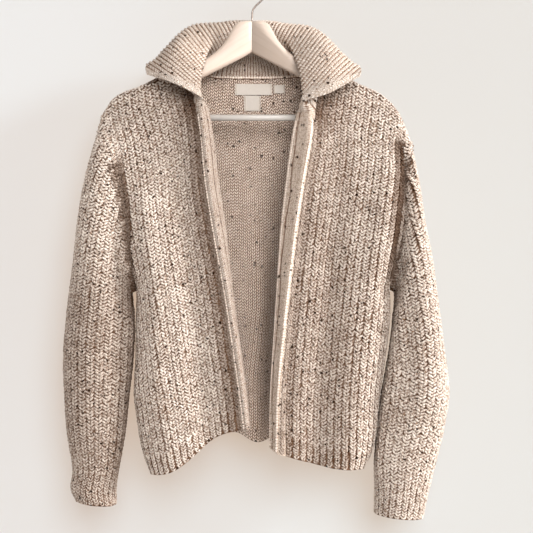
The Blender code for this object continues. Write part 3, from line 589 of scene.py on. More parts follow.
# %% Sleeve and collar grids
def sleeve_grid(side, rows):
    front, back = seams[side]["front"][:ARM_ROWS], seams[side]["back"][:ARM_ROWS]
    ring = np.concatenate([front, back[::-1][1:-1]])
    closed = np.concatenate([ring, ring[:1]])
    run = lengths(closed)
    own = run[:-1] / run[-1]
    even = np.arange(len(ring)) / len(ring)
    sections = [ring]
    for k, (ox, oz, ix, iz, front, back, bow) in enumerate(SLEEVE[side], start=1):
        turn = 2 * math.pi * (own + (even - own) * ease(k / 6.0))
        centre = np.array([(ox + ix) / 2, 0.0, (oz + iz) / 2])
        half = np.array([(ox - ix) / 2, 0.0, (oz - iz) / 2])
        c, s = np.cos(turn), np.sin(turn)
        narrow = 1 + 1.2 * (1 - float(ease((k - 1) / 4.0))) * np.maximum(-c, 0.0)
        s = np.sign(s) * np.abs(s) ** narrow
        depth = np.where(s > 0, front, back)
        points = centre + c[:, None] * half
        points[:, 0] += math.copysign(bow, ox) * (1 - c * c)
        swell = np.zeros(len(ring))
        for at, width, height, first, last in SLEEVE_FOLDS[side] + SOFT_SLEEVE_FOLDS[side]:
            window = ease((k - first) / 2.0) * ease((last - k) / 2.0)
            away = (own - at + 0.5) % 1.0 - 0.5
            swell += height * window * np.exp(-(away / width) ** 2)
        middle = (front + back) / 2
        points[:, 1] = np.abs(s) * depth + (1 - np.abs(s)) * middle * 0.4 * (1 - np.maximum(-c, 0))
        out = unit(points - np.array([centre[0], middle, centre[2]]))
        sections.append(points + out * swell[:, None])
    stack = np.array(sections)
    flat = stack.reshape(len(stack), -1)
    return spline(np.arange(len(stack)), flat, rows).reshape(len(rows), len(ring), 3)


def neckline():
    right, left = seams["right"], seams["left"]
    top_right = np.array([right["band"][k][0] for k in (3, 2, 1)])
    top_left = np.array([left["band"][k][0] for k in (1, 2, 3)])
    return np.concatenate([top_right, right["neck"][::-1], seams["back_neck"][1:-1], left["neck"],
                           top_left])


def collar_grid(feet_at, across):
    neck = neckline()
    run = lengths(neck)
    middle = np.interp(0.0, neck[len(neck) // 2 - 12:len(neck) // 2 + 12, 0],
                       run[len(neck) // 2 - 12:len(neck) // 2 + 12])
    rest = run[-1] - middle
    stations = [middle * a for a in STATION_AT] + [middle]
    stations += [run[-1] - rest * a for a in reversed(STATION_AT)]
    table = COLLAR["right"] + [COLLAR["centre"]] + COLLAR["left"][::-1]
    at = np.asarray(feet_at) * run[-1]
    feet = read_at(at, run, neck)
    read = spline(stations, table, at).reshape(len(at), 3, 3)
    columns = [along([foot, *row], across) for foot, row in zip(feet, read)]
    return np.array(columns).transpose(1, 0, 2)


for side in ("right", "left"):
    grids["sleeve_" + side] = sleeve_grid(side, SLEEVE_ROWS)
print("points on a sleeve:", grids["sleeve_right"].shape[:2])

# %% [markdown]
# ## Which way is out
# The normal at a point is the cross product of the two directions of the grid.  Where pieces are
# sewn together they share a normal halfway between theirs, so their walls meet without a step.

# %% Normals
def grid_normals(grid, closed=False):
    if closed:
        across = np.roll(grid, -1, axis=1) - np.roll(grid, 1, axis=1)
    else:
        across = np.gradient(grid, axis=1)
    return unit(np.cross(across, np.gradient(grid, axis=0)))


def key_of(point):
    return tuple(int(round(v * 50)) for v in point)


def outward_normals():
    normals = {name: grid_normals(grid, name.startswith("sleeve")) for name, grid in grids.items()}
    for name, normal in normals.items():
        if name.startswith("front"):
            good = normal[..., 1].mean() < 0
        elif name == "back":
            good = normal[..., 1].mean() > 0
        else:
            good = ((grids[name] - grids[name].mean(axis=(0, 1))) * normal).sum() > 0
        normals[name] = normal if good else -normal
    met = {}
    for name, normal in normals.items():
        group = name if name.startswith("sleeve") else "body"
        for point, n in zip(grids[name].reshape(-1, 3), normal.reshape(-1, 3)):
            groups = met.setdefault(key_of(point), {})
            groups[group] = groups.get(group, 0) + n
    for name, normal in normals.items():
        shared = [sum(unit(n) for n in met[key_of(p)].values()) for p in grids[name].reshape(-1, 3)]
        normals[name] = unit(shared).reshape(normal.shape)
    return normals


normals = outward_normals()
print("normals for:", sorted(normals))

# %% [markdown]
# ## The yarn's colour
# Tweed yarn is spun from several fleeces: the oat tone drifts along the thread, and small dark nubs
# are caught in it.  The drift is noise, and the nubs are the cells of a three-dimensional Voronoi
# pattern that are small enough.  A solid pattern runs on from one piece into the next.

# %% Tweed colour
OAT_LIGHT, OAT_DARK = (0.77, 0.685, 0.61, 1), (0.32, 0.23, 0.175, 1)
# painted light: a lighter copy of the oat yarn, so that the shaded inside of the back and the small chains
# come out bright
LIT_OAT_LIGHT, LIT_OAT_DARK = (1.0, 0.90, 0.81, 1), (0.90, 0.77, 0.67, 1)
WHITE = (1, 1, 1, 1)
CLOUD_SHARE, THREAD_SHARE = 0.15, 0.85
NUB_WANDER = (0.0045, 0.0045, 0.0045)
NUBS = (
    # cells a metre, smallest and largest radius as a share of a cell, colour
    (112.0, 0.03, 0.265, (0.05, 0.03, 0.02, 1)),
    (160.0, -0.02, 0.23, (0.28, 0.17, 0.10, 1)),
)


def tweed_colour(tree, light=OAT_LIGHT, dark=OAT_DARK):
    place = object_place(tree)
    mixed = maths(tree, "ADD", maths(tree, "MULTIPLY", noise(tree, place, 30.0, 3.0), CLOUD_SHARE),
                  maths(tree, "MULTIPLY", noise(tree, place, 420.0, 2.0), THREAD_SHARE))
    colour = blend_colours(tree, remap(tree, mixed, 0.38, 0.58), dark, light)
    wander = add_node(tree, "ShaderNodeTexNoise", {"Vector": place, "Scale": 380.0, "Detail": 1.0})
    moved = add_node(tree, "ShaderNodeVectorMath",
                     {0: wander.outputs["Color"], 1: NUB_WANDER, 2: place}, operation="MULTIPLY_ADD")
    for scale, small, big, nub in NUBS:
        cells = add_node(tree, "ShaderNodeTexVoronoi",
                         {"Vector": moved.outputs[0], "Scale": scale}, voronoi_dimensions="3D")
        chance = add_node(tree, "ShaderNodeSeparateColor", {0: cells.outputs["Color"]})
        radius = maths(tree, "MULTIPLY_ADD", chance.outputs[0], big - small, small)
        depth = maths(tree, "SUBTRACT", radius, cells.outputs["Distance"])
        colour = blend_colours(tree, remap(tree, depth, 0.0, 0.03), colour, nub)
    return place, colour


def fibre_bump(tree, shader, place, height=None, strength=0.6):
    """The hair of the yarn as bump, over the height of a knit pattern where there is one."""
    total = noise(tree, place, 1500.0, 2.0)
    if height is not None:
        total = maths(tree, "ADD", maths(tree, "MULTIPLY", height, 2.2), total)
    bump = add_node(tree, "ShaderNodeBump", {"Height": total, "Strength": strength, "Distance": 0.0005})
    tree.links.new(bump.outputs[0], shader.inputs["Normal"])


# %% [markdown]
# ## Three wools
# The raised stitches carry an attribute that says how high each point stands, so their feet get painted
# shade, as thick wool hides light.  The cloth under them is painted darker still, as painted shade between
# the stitches.
# Fine plain knit is too small for geometry: its V pattern is worked out from the cloth's own grain in both
# directions, with painted shade in its holes and grooves.

# %% Wool materials
WOOL_GLOSS = {"Sheen_Weight": 0.04, "Sheen_Roughness": 0.6, "Sheen_Tint": (0.9, 0.7, 0.55, 1),
              "Specular_IOR_Level": 0.05}
# colour of the painted shade on stitches that lie in the hollows beside seams
PAINTED_HOLLOW_SHADE = (0.30, 0.22, 0.17, 1)
# painted shade in the bands' stitch holes and in their stitched groove
BAND_HOLE_PAINTED_SHADE, BAND_GROOVE_PAINTED_SHADE = (0.56, 0.47, 0.41), (0.34, 0.24, 0.18)


def stitch_wool(name, foot=(0.20, 0.11, 0.065), light=OAT_LIGHT, dark=OAT_DARK):
    """Yarn of raised stitches; foot is painted shade that darkens it where it dips into the cloth."""
    material, tree, shader = new_material(name, 0.92, **WOOL_GLOSS)
    place, colour = tweed_colour(tree, light, dark)
    # painted shade: the feet of the stitches, where crest is low, are darker
    depth = blend_colours(tree, remap(tree, attribute(tree, "crest"), 0.0, 0.6), (*foot, 1), WHITE)
    uneven = blend_colours(tree, attribute(tree, "tone"), (0.88, 0.86, 0.85, 1), (1.08, 1.08, 1.08, 1))
    # painted shade: stitches in hollows are darkened, twice over so that the shade turns brown
    hollow = blend_colours(tree, attribute(tree, "painted_shade"), WHITE, PAINTED_HOLLOW_SHADE)
    for factor in (depth, uneven, hollow, hollow):
        colour = times(tree, colour, factor)
    tree.links.new(colour, shader.inputs["Base Color"])
    fibre_bump(tree, shader, place)
    return material


def plain_wool(name, wale, course, gap, strength, light, dark, groove):
    """Plain knit by bump; wale and course are the width and height of a stitch in metres of grain; gap and
    groove are painted shade in its holes and where crest is low.
    """
    material, tree, shader = new_material(name, 0.93, **WOOL_GLOSS)
    place, colour = tweed_colour(tree, light, dark)
    grain = add_node(tree, "ShaderNodeUVMap", uv_map="grain").outputs[0]
    parts = add_node(tree, "ShaderNodeSeparateXYZ", {0: grain})
    across = maths(tree, "FRACT", maths(tree, "DIVIDE", parts.outputs[0], wale))
    side = maths(tree, "MULTIPLY", maths(tree, "ABSOLUTE", maths(tree, "SUBTRACT", across, 0.5)), 2.0)
    climb = maths(tree, "DIVIDE", parts.outputs[1], course)
    phase = maths(tree, "FRACT", maths(tree, "SUBTRACT", climb, maths(tree, "MULTIPLY", side, 0.9)))
    leg = maths(tree, "SINE", maths(tree, "MULTIPLY", phase, math.pi))
    wale_round = maths(tree, "SINE", maths(tree, "MULTIPLY_ADD", side, 2.3, 0.55))
    height = maths(tree, "MULTIPLY", leg, maths(tree, "MAXIMUM", wale_round, 0.0))
    # painted shade in the holes between the legs of the bump pattern
    hole = blend_colours(tree, remap(tree, height, 0.05, 0.75), (*gap, 1), WHITE)
    ragged = maths(tree, "SUBTRACT", noise(tree, place, 600.0, 2.0), 0.5)
    # painted shade in grooves, where crest is low, with a ragged edge
    crest = maths(tree, "MULTIPLY_ADD", ragged, 1.5, attribute(tree, "crest"))
    low = blend_colours(tree, remap(tree, crest, 0.0, 0.5), (*groove, 1), WHITE)
    colour = times(tree, times(tree, colour, hole), low)
    tree.links.new(colour, shader.inputs["Base Color"])
    fibre_bump(tree, shader, place, height, strength)
    return material


def painted_shade_backing_wool(name, dim, warmth=1.0):
    """The cloth between the raised stitches, painted dark by dim as painted shade; warmth takes green and
    blue out of it.
    """
    material, tree, shader = new_material(name, 0.95, Specular_IOR_Level=0.03)
    place, colour = tweed_colour(tree)
    warm_dim = (dim, dim * (1 - 0.34 * warmth), dim * (1 - 0.53 * warmth), 1)
    tree.links.new(times(tree, colour, warm_dim), shader.inputs["Base Color"])
    fibre_bump(tree, shader, place)
    return material


raised = stitch_wool("raised_stitches")
# the fine stitches use the lighter copy of the yarn as painted light, with paler painted shade at their
# feet
fine_raised = stitch_wool("fine_stitches", (0.50, 0.35, 0.26), LIT_OAT_LIGHT, LIT_OAT_DARK)
# painted shade: the cloth between the stitches is the yarn dimmed to a warm brown
painted_shade_backing = painted_shade_backing_wool("cloth_under_stitches_painted_shade", 0.24)
inner_painted_shade_backing = painted_shade_backing_wool("cloth_behind_fine_stitches_painted_shade", 0.30, 0.7)
# painted light and shade: the right band, which faces the side lamp, gets a darker copy of the wool, the
# left band a lighter one
BAND_LIT_AND_SHADED_COLOURS = {"right": ((0.62, 0.54, 0.475, 1), (0.36, 0.275, 0.225, 1)),
                "left": ((0.81, 0.70, 0.605, 1), (0.52, 0.40, 0.32, 1))}
band_knit = {side: plain_wool("plain_knit_band_" + side, 0.0042, 0.0034, BAND_HOLE_PAINTED_SHADE, 0.8, light, dark,
                              BAND_GROOVE_PAINTED_SHADE) for side, (light, dark) in BAND_LIT_AND_SHADED_COLOURS.items()}
# the collar's gap and groove colours are painted shade in its holes and between its ribs
collar_knit = plain_wool("rib_knit_collar", 1.0, 0.0036, (0.66, 0.57, 0.50), 0.9,
                         (0.78, 0.70, 0.635, 1), (0.56, 0.46, 0.385, 1), (0.40, 0.28, 0.21))
print("wools:", [m.name for m in (raised, fine_raised, painted_shade_backing, inner_painted_shade_backing, *band_knit.values(),
                                  collar_knit)])

# %% [markdown]
# ## Bands as grids
# A band is folded back on itself and stitched down along a groove, so it needs a curved section
# between its seam and its free edge.  It joins the other pieces before the normals are shared out.

# %% Band and collar grids
BAND_COLUMNS = 31
for side in ("right", "left"):
    lines = np.stack(seams[side]["band"], axis=1)
    grids["band_" + side] = np.array([along(row, np.linspace(0, 1, BAND_COLUMNS)) for row in lines])
normals = outward_normals()

COLLAR_STEPS, COLLAR_ROWS = 336, 130
COLLAR_EVEN_AT = 0.72


def collar_feet():
    """Where the collar's columns start on the neckline, so that they are even over the fall."""
    coarse = np.linspace(0, 1, 161)
    line = collar_grid(coarse, [0.0, COLLAR_EVEN_AT])[1]
    run = lengths(line)
    wanted = np.linspace(0, run[-1], COLLAR_STEPS + 1)
    return np.interp(wanted, run, coarse), wanted


feet_at, collar_run = collar_feet()
collar = collar_grid(feet_at, np.linspace(0.004, 1, COLLAR_ROWS))
collar_normal = grid_normals(collar)
if collar_normal[3, collar.shape[1] // 2, 1] < 0:
    collar_normal = -collar_normal
print("collar grid:", collar.shape[:2], "mm between columns:", round(collar_run[1], 1))

# %% [markdown]
# ## A wall around a grid
# Two skins and the cut edges between them make a closed wall.  The grain coordinates count metres of
# cloth across and down, so a knit pattern keeps its size where the cloth curves.

# %% Wall meshes
def set_shares(mesh, name, values):
    mesh.attributes.new(name, "FLOAT", "POINT").data.foreach_set("value", values)


def runs_of(grid, closed=False):
    """Millimetres of cloth from the first column across, and from the first row down."""
    wide = np.concatenate([grid, grid[:, :1]], axis=1) if closed else grid
    across = np.linalg.norm(np.diff(wide, axis=1), axis=2)
    down = np.linalg.norm(np.diff(wide, axis=0), axis=2)
    u = np.concatenate([np.zeros((len(grid), 1)), np.cumsum(across, axis=1)], axis=1)
    v = np.concatenate([np.zeros((1, wide.shape[1])), np.cumsum(down, axis=0)], axis=0)
    return u, v


def wall_object(name, grid, normal, outer, inner, closed=False, grain=None):
    rows, cols = grid.shape[:2]
    wrap = cols if closed else cols - 1
    outer = np.broadcast_to(outer, (rows, cols))[..., None]
    inner = np.broadcast_to(inner, (rows, cols))[..., None]
    points = np.concatenate([(grid + normal * outer).reshape(-1, 3),
                             (grid - normal * inner).reshape(-1, 3)]) * MM
    base = rows * cols
    r, c = np.meshgrid(np.arange(rows - 1), np.arange(wrap), indexing="ij")
    corners_r = np.stack([r, r, r + 1, r + 1], axis=-1).reshape(-1, 4)
    corners_c = np.stack([c, c + 1, c + 1, c], axis=-1).reshape(-1, 4)
    row_list, col_list = [corners_r, corners_r[:, ::-1]], [corners_c, corners_c[:, ::-1]]
    shift_list = [np.zeros_like(corners_r), np.full_like(corners_r, base)]
    rims = [(np.zeros(wrap, int), np.arange(wrap), 0, 1, True),
            (np.full(wrap, rows - 1), np.arange(wrap), 0, 1, False)]
    if not closed:
        rims += [(np.arange(rows - 1), np.zeros(rows - 1, int), 1, 0, False),
                 (np.arange(rows - 1), np.full(rows - 1, cols - 1), 1, 0, True)]
    for rr, cc, dr, dc, turned in rims:
        first, second = (rr, cc), (rr + dr, cc + dc)
        if turned:
            first, second = second, first
        row_list.append(np.stack([first[0], second[0], second[0], first[0]], axis=1))
        col_list.append(np.stack([first[1], second[1], second[1], first[1]], axis=1))
        shift_list.append(np.tile([0, 0, base, base], (len(rr), 1)))
    rows_all, cols_all = np.concatenate(row_list), np.concatenate(col_list)
    faces = rows_all * cols + cols_all % cols + np.concatenate(shift_list)
    a, b, d = (points[faces[:200, k]] for k in (0, 1, 2))
    facing = np.cross(b - a, d - a)
    wanted = normal.reshape(-1, 3)[faces[:200, 0]]
    if (facing * wanted).sum() < 0:
        faces, rows_all, cols_all = faces[:, ::-1], rows_all[:, ::-1], cols_all[:, ::-1]
    mesh = bpy.data.meshes.new(name)
    mesh.from_pydata(points.tolist(), [], faces.tolist())
    u, v = grain if grain is not None else runs_of(grid, closed)
    layer = mesh.uv_layers.new(name="grain")
    flat = np.stack([u[rows_all, cols_all], -v[rows_all, cols_all]], axis=-1).reshape(-1) * MM
    layer.data.foreach_set("uv", flat)
    mesh.shade_smooth()
    mesh.set_sharp_from_angle(angle=math.radians(65))
    return add_object(name, mesh)


# %% [markdown]
# ## One stitch
# A knitted stitch shows as a V of two yarn legs.  In a fisherman's rib the legs climb from the deep
# valley up to the rib's ridge, where they meet.  Each leg is a strip bent over its own length, open
# below, because thousands of them have to stay light.

# %% The base stitches
def stitch_object(name, stations, profile):
    """Two mirrored legs; a station is x, y, height of the yarn's top, half-width, drop of its sides."""
    points, faces, crest = [], [], []
    stations = np.asarray(stations, float)
    top = stations[:, 2].max()
    for side in (1, -1):
        first = len(points)
        for k, (x, y, z, half, drop) in enumerate(stations):
            ahead = stations[min(k + 1, len(stations) - 1), :2] - stations[max(k - 1, 0), :2]
            across = np.array([ahead[1], -ahead[0]]) / np.linalg.norm(ahead)
            for place, height in profile:
                px, py = np.array([x, y]) + across * half * place
                pz = z - drop * (1 - height)
                points.append((side * px, py, pz))
                crest.append(max(0.0, min(1.0, pz / top)) * (0.55 + 0.45 * height))
        n = len(profile)
        for k in range(len(stations) - 1):
            for j in range(n - 1):
                a = first + k * n + j
                quad = (a, a + 1, a + n + 1, a + n)
                faces.append(quad if side > 0 else quad[::-1])
    mesh = bpy.data.meshes.new(name)
    mesh.from_pydata([tuple(np.array(p) * MM) for p in points], [], faces)
    if sum(polygon.normal.z for polygon in mesh.polygons) < 0:
        mesh.flip_normals()
    mesh.shade_smooth()
    set_shares(mesh, "crest", crest)
    return add_object(name, mesh)


ROUND = [(-1, 0.0), (-0.5, 0.85), (0.5, 0.85), (1, 0.0)]
FLAT = [(-1, 0.0), (0, 1.0), (1, 0.0)]
rib_stitch = stitch_object("rib_stitch", [
    (0.3, -1.4, 2.2, 1.3, 1.6), (1.5, 0.4, 3.1, 1.8, 2.1), (3.4, 2.5, 2.5, 1.75, 2.1),
    (5.4, 4.6, 1.1, 1.2, 1.5)], ROUND)
fine_stitch = stitch_object("fine_stitch", [
    (0.4, -1.0, 0.6, 0.7, 0.9), (1.5, 1.5, 1.3, 0.95, 1.2), (2.75, 3.8, 0.5, 0.6, 0.9)], FLAT)
bead = stitch_object("bead", [
    (0.0, -1.6, 0.5, 0.9, 1.0), (0.7, 0.4, 1.5, 1.35, 1.5), (0.6, 2.9, 0.6, 0.8, 1.2)], ROUND)
print("faces in one stitch:", len(rib_stitch.data.polygons), len(fine_stitch.data.polygons))

# %% [markdown]
# ## A node group that knits
# Each point of a plain mesh says where a stitch sits, which way it faces, which way it climbs and how
# large it is.  The node group turns that into copies of one stitch, each a little uneven, because no
# hand or machine makes ten thousand equal ones.  It ends in plain mesh.

# %% The knitting nodes
def knitting_nodes():
    tree = bpy.data.node_groups.new("knit", "GeometryNodeTree")
    sockets = {"Points": "Geometry", "Stitch": "Object", "Tilt": "Float", "Uneven": "Float", "Seed": "Int",
               "Wool": "Material"}
    for name, kind in sockets.items():
        tree.interface.new_socket(name, in_out="INPUT", socket_type="NodeSocket" + kind)
    tree.interface.new_socket("Knit", in_out="OUTPUT", socket_type="NodeSocketGeometry")
    given = add_node(tree, "NodeGroupInput").outputs
    read = {name: add_node(tree, "GeometryNodeInputNamedAttribute", {"Name": name},
                           data_type="FLOAT_VECTOR").outputs["Attribute"]
            for name in ("out", "up", "size")}
    turn = add_node(tree, "FunctionNodeAxesToRotation", {0: read["out"], 1: read["up"]},
                    primary_axis="Z", secondary_axis="Y")
    spread = add_node(tree, "ShaderNodeVectorMath", {0: (0.5, 0.5, 1.0), "Scale": given["Tilt"]},
                      operation="SCALE").outputs[0]
    under = add_node(tree, "ShaderNodeVectorMath", {0: spread, "Scale": -1.0}, operation="SCALE")
    swing = add_node(tree, "FunctionNodeRandomValue", data_type="FLOAT_VECTOR",
                     inputs={0: under.outputs[0], 1: spread, "Seed": given["Seed"]})
    leaning = add_node(tree, "FunctionNodeEulerToRotation", {0: swing.outputs[0]})
    turned = add_node(tree, "FunctionNodeRotateRotation", {0: turn.outputs[0], 1: leaning.outputs[0]},
                      rotation_space="LOCAL")
    low, high = (maths(tree, operation, 1.0, given["Uneven"]) for operation in ("SUBTRACT", "ADD"))
    grow_seed, tone_seed = (add_node(tree, "FunctionNodeIntegerMath", {0: given["Seed"], 1: step},
                                     operation="ADD").outputs[0] for step in (7, 19))
    grow = add_node(tree, "FunctionNodeRandomValue", {2: low, 3: high, "Seed": grow_seed},
                    data_type="FLOAT")
    size = add_node(tree, "ShaderNodeVectorMath", {0: read["size"], "Scale": grow.outputs[1]},
                    operation="SCALE")
    stitch = add_node(tree, "GeometryNodeObjectInfo", {"Object": given["Stitch"]})
    copies = add_node(tree, "GeometryNodeInstanceOnPoints",
                      {"Points": given["Points"], "Instance": stitch.outputs["Geometry"],
                       "Rotation": turned.outputs[0], "Scale": size.outputs[0]})
    tone = add_node(tree, "FunctionNodeRandomValue", {"Seed": tone_seed}, data_type="FLOAT")
    stored = add_node(tree, "GeometryNodeStoreNamedAttribute",
                      {"Geometry": copies.outputs[0], "Name": "tone", "Value": tone.outputs[1]},
                      data_type="FLOAT", domain="INSTANCE")
    real = add_node(tree, "GeometryNodeRealizeInstances", {"Geometry": stored.outputs[0]})
    wool = add_node(tree, "GeometryNodeSetMaterial",
                    {"Geometry": real.outputs[0], "Material": given["Wool"]})
    add_node(tree, "NodeGroupOutput", {0: wool.outputs[0]})
    return tree


KNIT = knitting_nodes()


def knit(name, stitch, where, out, up, size, wool, seed, tilt=0.2, uneven=0.1, painted_shade=None):
    """Stitches at the given places, as one plain mesh object."""
    mesh = bpy.data.meshes.new(name + "_points")
    mesh.vertices.add(len(where))
    mesh.vertices.foreach_set("co", (np.asarray(where) * MM).ravel())
    for key, values in (("out", out), ("up", up), ("size", size)):
        data = mesh.attributes.new(key, "FLOAT_VECTOR", "POINT").data
        data.foreach_set("vector", np.ascontiguousarray(values, dtype=float).ravel())
    set_shares(mesh, "painted_shade", np.zeros(len(where)) if painted_shade is None else painted_shade)
    points = add_object(name + "_points", mesh)
    modifier = points.modifiers.new("knit", "NODES")
    modifier.node_group = KNIT
    values = {"Stitch": stitch, "Tilt": tilt, "Uneven": uneven, "Seed": seed, "Wool": wool}
    for item in KNIT.interface.items_tree:
        if item.name in values:
            modifier[item.identifier] = values[item.name]
    graph = bpy.context.evaluated_depsgraph_get()
    made = bpy.data.meshes.new_from_object(points.evaluated_get(graph))
    made.name = name
    bpy.data.objects.remove(points)
    return add_object(name, made)


# %% [markdown]
# ## Where the stitches go
# The ribs run down the cloth side by side, an equal distance apart, counted from the front band, from
# the middle of the back, or from the outer line of a sleeve.  A seam simply cuts them off.  Along
# each rib the stitches are counted up from the hem, so neighbours stay level.

# %% Ribs and courses
RIB_PITCH = 11.3
COURSE = 4.9
HEM_COURSE = 4.1
HEM_HEIGHT = 28.0
CUFF_HEIGHT = 50.0
STITCH_SIZE = np.array([11.0, 4.8])
SEAM_FREE = 4.6
HEM_WIDTH = 0.84
EDGE_RIB_AT = 5.2


def read_grid(grid, r, c):
    """The grid between its points, at fractional rows and columns."""
    rows, cols = grid.shape[:2]
    r0 = np.clip(np.floor(r).astype(int), 0, rows - 2)
    c0 = np.clip(np.floor(c).astype(int), 0, cols - 2)
    fr, fc = (r - r0)[:, None], (c - c0)[:, None]
    top = grid[r0, c0] * (1 - fc) + grid[r0, c0 + 1] * fc
    low = grid[r0 + 1, c0] * (1 - fc) + grid[r0 + 1, c0 + 1] * fc
    return top * (1 - fr) + low * fr


def stitch_places(grid, normal, ribs, edge_height, lift, edge_course=HEM_COURSE, course=COURSE,
                  edge_width=HEM_WIDTH, start_free=SEAM_FREE):
    """Places for stitches; a rib is its column in every row, where it exists, and its width."""
    found = []
    row_at = np.arange(len(grid), dtype=float)
    for columns, there, width in ribs:
        path = read_grid(grid, row_at, columns)
        climb = lengths(path[::-1])[::-1]
        edge = np.arange(edge_course * 0.45, edge_height, edge_course)
        rest = np.arange(edge_height + course * 0.3, climb[0] - start_free, course)
        for heights, step, narrow in ((edge, edge_course, edge_width), (rest, course, 1.0)):
            r = np.interp(heights, climb[::-1], row_at[::-1])
            c = np.interp(r, row_at, columns)
            alive = np.interp(r, row_at, there.astype(float)) > 0.999
            if not alive.any():
                continue
            r, c = r[alive], c[alive]
            w = np.interp(r, row_at, width) * narrow
            above = read_grid(grid, np.maximum(r - 0.4, 0), np.interp(r - 0.4, row_at, columns))
            below = read_grid(grid, np.minimum(r + 0.4, len(grid) - 1),
                              np.interp(r + 0.4, row_at, columns))
            place, out = read_grid(grid, r, c), unit(read_grid(normal, r, c))
            size = np.stack([w / STITCH_SIZE[0], np.full(len(w), step / STITCH_SIZE[1]),
                             0.45 + 0.55 * w / STITCH_SIZE[0]], axis=1)
            found.append(np.concatenate([place + out * lift, out, unit(above - below), size], axis=1))
    table = np.concatenate(found)
    return table[:, 0:3], table[:, 3:6], table[:, 6:9], table[:, 9:12]


def straight_ribs(grid, origin, pitch, first, count, free=SEAM_FREE, edged=0, start=SEAM_FREE,
                  both=False):
    """Ribs a pitch apart, counted from a line that is given as a distance along every row.

    In the first edged rows one more rib follows the seam at the end, with both also the seam at the
    start, and the others stop short of it.
    """
    run = runs_of(grid)[0]
    columns = np.arange(grid.shape[1])
    pitch = np.broadcast_to(pitch, len(grid))
    by_seam = np.arange(len(grid)) < edged
    limit = run[:, -1] - np.where(by_seam, EDGE_RIB_AT + 0.25 * pitch, free)
    begin = np.where(by_seam & both, EDGE_RIB_AT + 0.25 * pitch, start)
    lines = [(origin + first + k * pitch, begin, limit, pitch) for k in range(count)]
    never = np.full(len(grid), -1.0)
    lines.append((run[:, -1] - EDGE_RIB_AT, never, np.where(by_seam, run[:, -1], never), 1.2 * pitch))
    if both:
        lines.append((0 * limit + EDGE_RIB_AT, never, np.where(by_seam, limit, never), 1.2 * pitch))
    ribs = []
    for wanted, low, last, width in lines:
        there = (wanted > low) & (wanted < last)
        place = np.array([np.interp(w, row, columns) for w, row in zip(wanted, run)])
        ribs.append((place, there, width))
    return ribs


LEVELS_END_AT = 7.0
LEVEL_STEP = 5.0
LEVEL_COLUMNS = 61


def sleeve_half(grid, normal, direction):
    """Front or back half of a sleeve as level rows, from its outer line to armhole or inner line."""
    cols = grid.shape[1]
    half = cols // 2
    order = (np.arange(half + 1) * direction) % cols
    line, out = grid[:, order], normal[:, order]
    whole_from = int(np.searchsorted(SLEEVE_ROWS, LEVELS_END_AT))
    top = line[0, :, 2]
    levels = np.arange(top[0] - 4.0, line[whole_from, :, 2].max() + 2.0, -LEVEL_STEP)
    row_at = np.arange(len(grid), dtype=float)
    rows, normals_out = [], []
    for level in levels:
        last = np.interp(-level, -top, np.arange(half + 1))
        c = np.linspace(0, last, LEVEL_COLUMNS)
        r = np.zeros(len(c))
        for k, column in enumerate(c):
            fall = np.maximum.accumulate(-read_grid(line, row_at, np.full(len(grid), column))[:, 2])
            r[k] = np.interp(-level, fall, row_at)
        rows.append(read_grid(line, r, c))
        normals_out.append(unit(read_grid(out, r, c)))
    even = np.linspace(0, half, LEVEL_COLUMNS)
    for r in range(whole_from, len(grid)):
        at = np.full(LEVEL_COLUMNS, float(r))
        rows.append(read_grid(line, at, even))
        normals_out.append(unit(read_grid(out, at, even)))
    return np.array(rows), np.array(normals_out)


def near_lines(places, lines):
    """How much painted shade each place gets from the hollow along a seam: 0 in the open, up to 1."""
    open_share = np.ones(len(places))
    for line, strength, reach in lines:
        away = np.full(len(places), 1e9)
        for k in range(len(line) - 1):
            a, step = line[k], line[k + 1] - line[k]
            t = np.clip(((places - a) @ step) / max(float(step @ step), 1e-9), 0, 1)
            away = np.minimum(away, np.linalg.norm(places - a - t[:, None] * step, axis=1))
        open_share *= 1 - strength * np.exp(-(away / reach) ** 2)
    return 1 - open_share


UNDERARM_GAP = np.array([(224.0, -262.0), (225, -300), (221, -350), (216, -400), (209, -462)])
HOLLOW_PAINTED_SHADES = {
    # level where the armhole's painted shade begins, then strength and reach of the painted shade
    # along the armhole, the side seam, the band's seam, the neck and the gap under the arm
    "front_right": (-290.0, (0.8, 9.0), (0.75, 13.0), (0.55, 20.0), (0.6, 26.0)),
    "front_left": (-262.0, (0.95, 6.0), (0.75, 13.0), (0.4, 10.0), (0.6, 36.0), (0.85, 9.0)),
    # the same, then along the armhole and the sleeve's inner line
    "sleeve_right": (-290.0, (0.8, 8.0), (0.6, 30.0)),
    "sleeve_left": (-290.0, (0.8, 9.0), (0.6, 14.0)),
}
# strength and reach of the painted shade along the back neck seam
BACK_NECK_PAINTED_SHADE = (0.4, 8.0)
INNER_ROWS = slice(8, 70)


def on_cloth(grid, line):
    """Points of a line given by width and height, moved onto the cloth."""
    places = grid.reshape(-1, 3)
    nearest = [np.argmin((places[:, 0] - x) ** 2 + (places[:, 2] - z) ** 2) for x, z in line]
    return places[nearest]


def painted_shade_lines(name):
    """The lines beside which a panel gets painted shade, each with its strength and its reach."""
    if name == "back":
        return [(seams["back_neck"], *BACK_NECK_PAINTED_SHADE)]
    side = name.split("_")[-1]
    begins, *hollows = HOLLOW_PAINTED_SHADES[name]
    edge = seams[side]["front"]
    lines = [edge[:ARM_ROWS][edge[:ARM_ROWS, 2] < begins]]
    if name.startswith("front"):
        lines += [edge[ARM_ROWS - 1:], seams[side]["band"][0], seams[side]["neck"]]
    else:
        lines.append(grids[name][INNER_ROWS, grids[name].shape[1] // 2])
    if name == "front_left":
        lines.append(on_cloth(grids[name], UNDERARM_GAP))
    return [(line, *hollow) for line, hollow in zip(lines, hollows)]


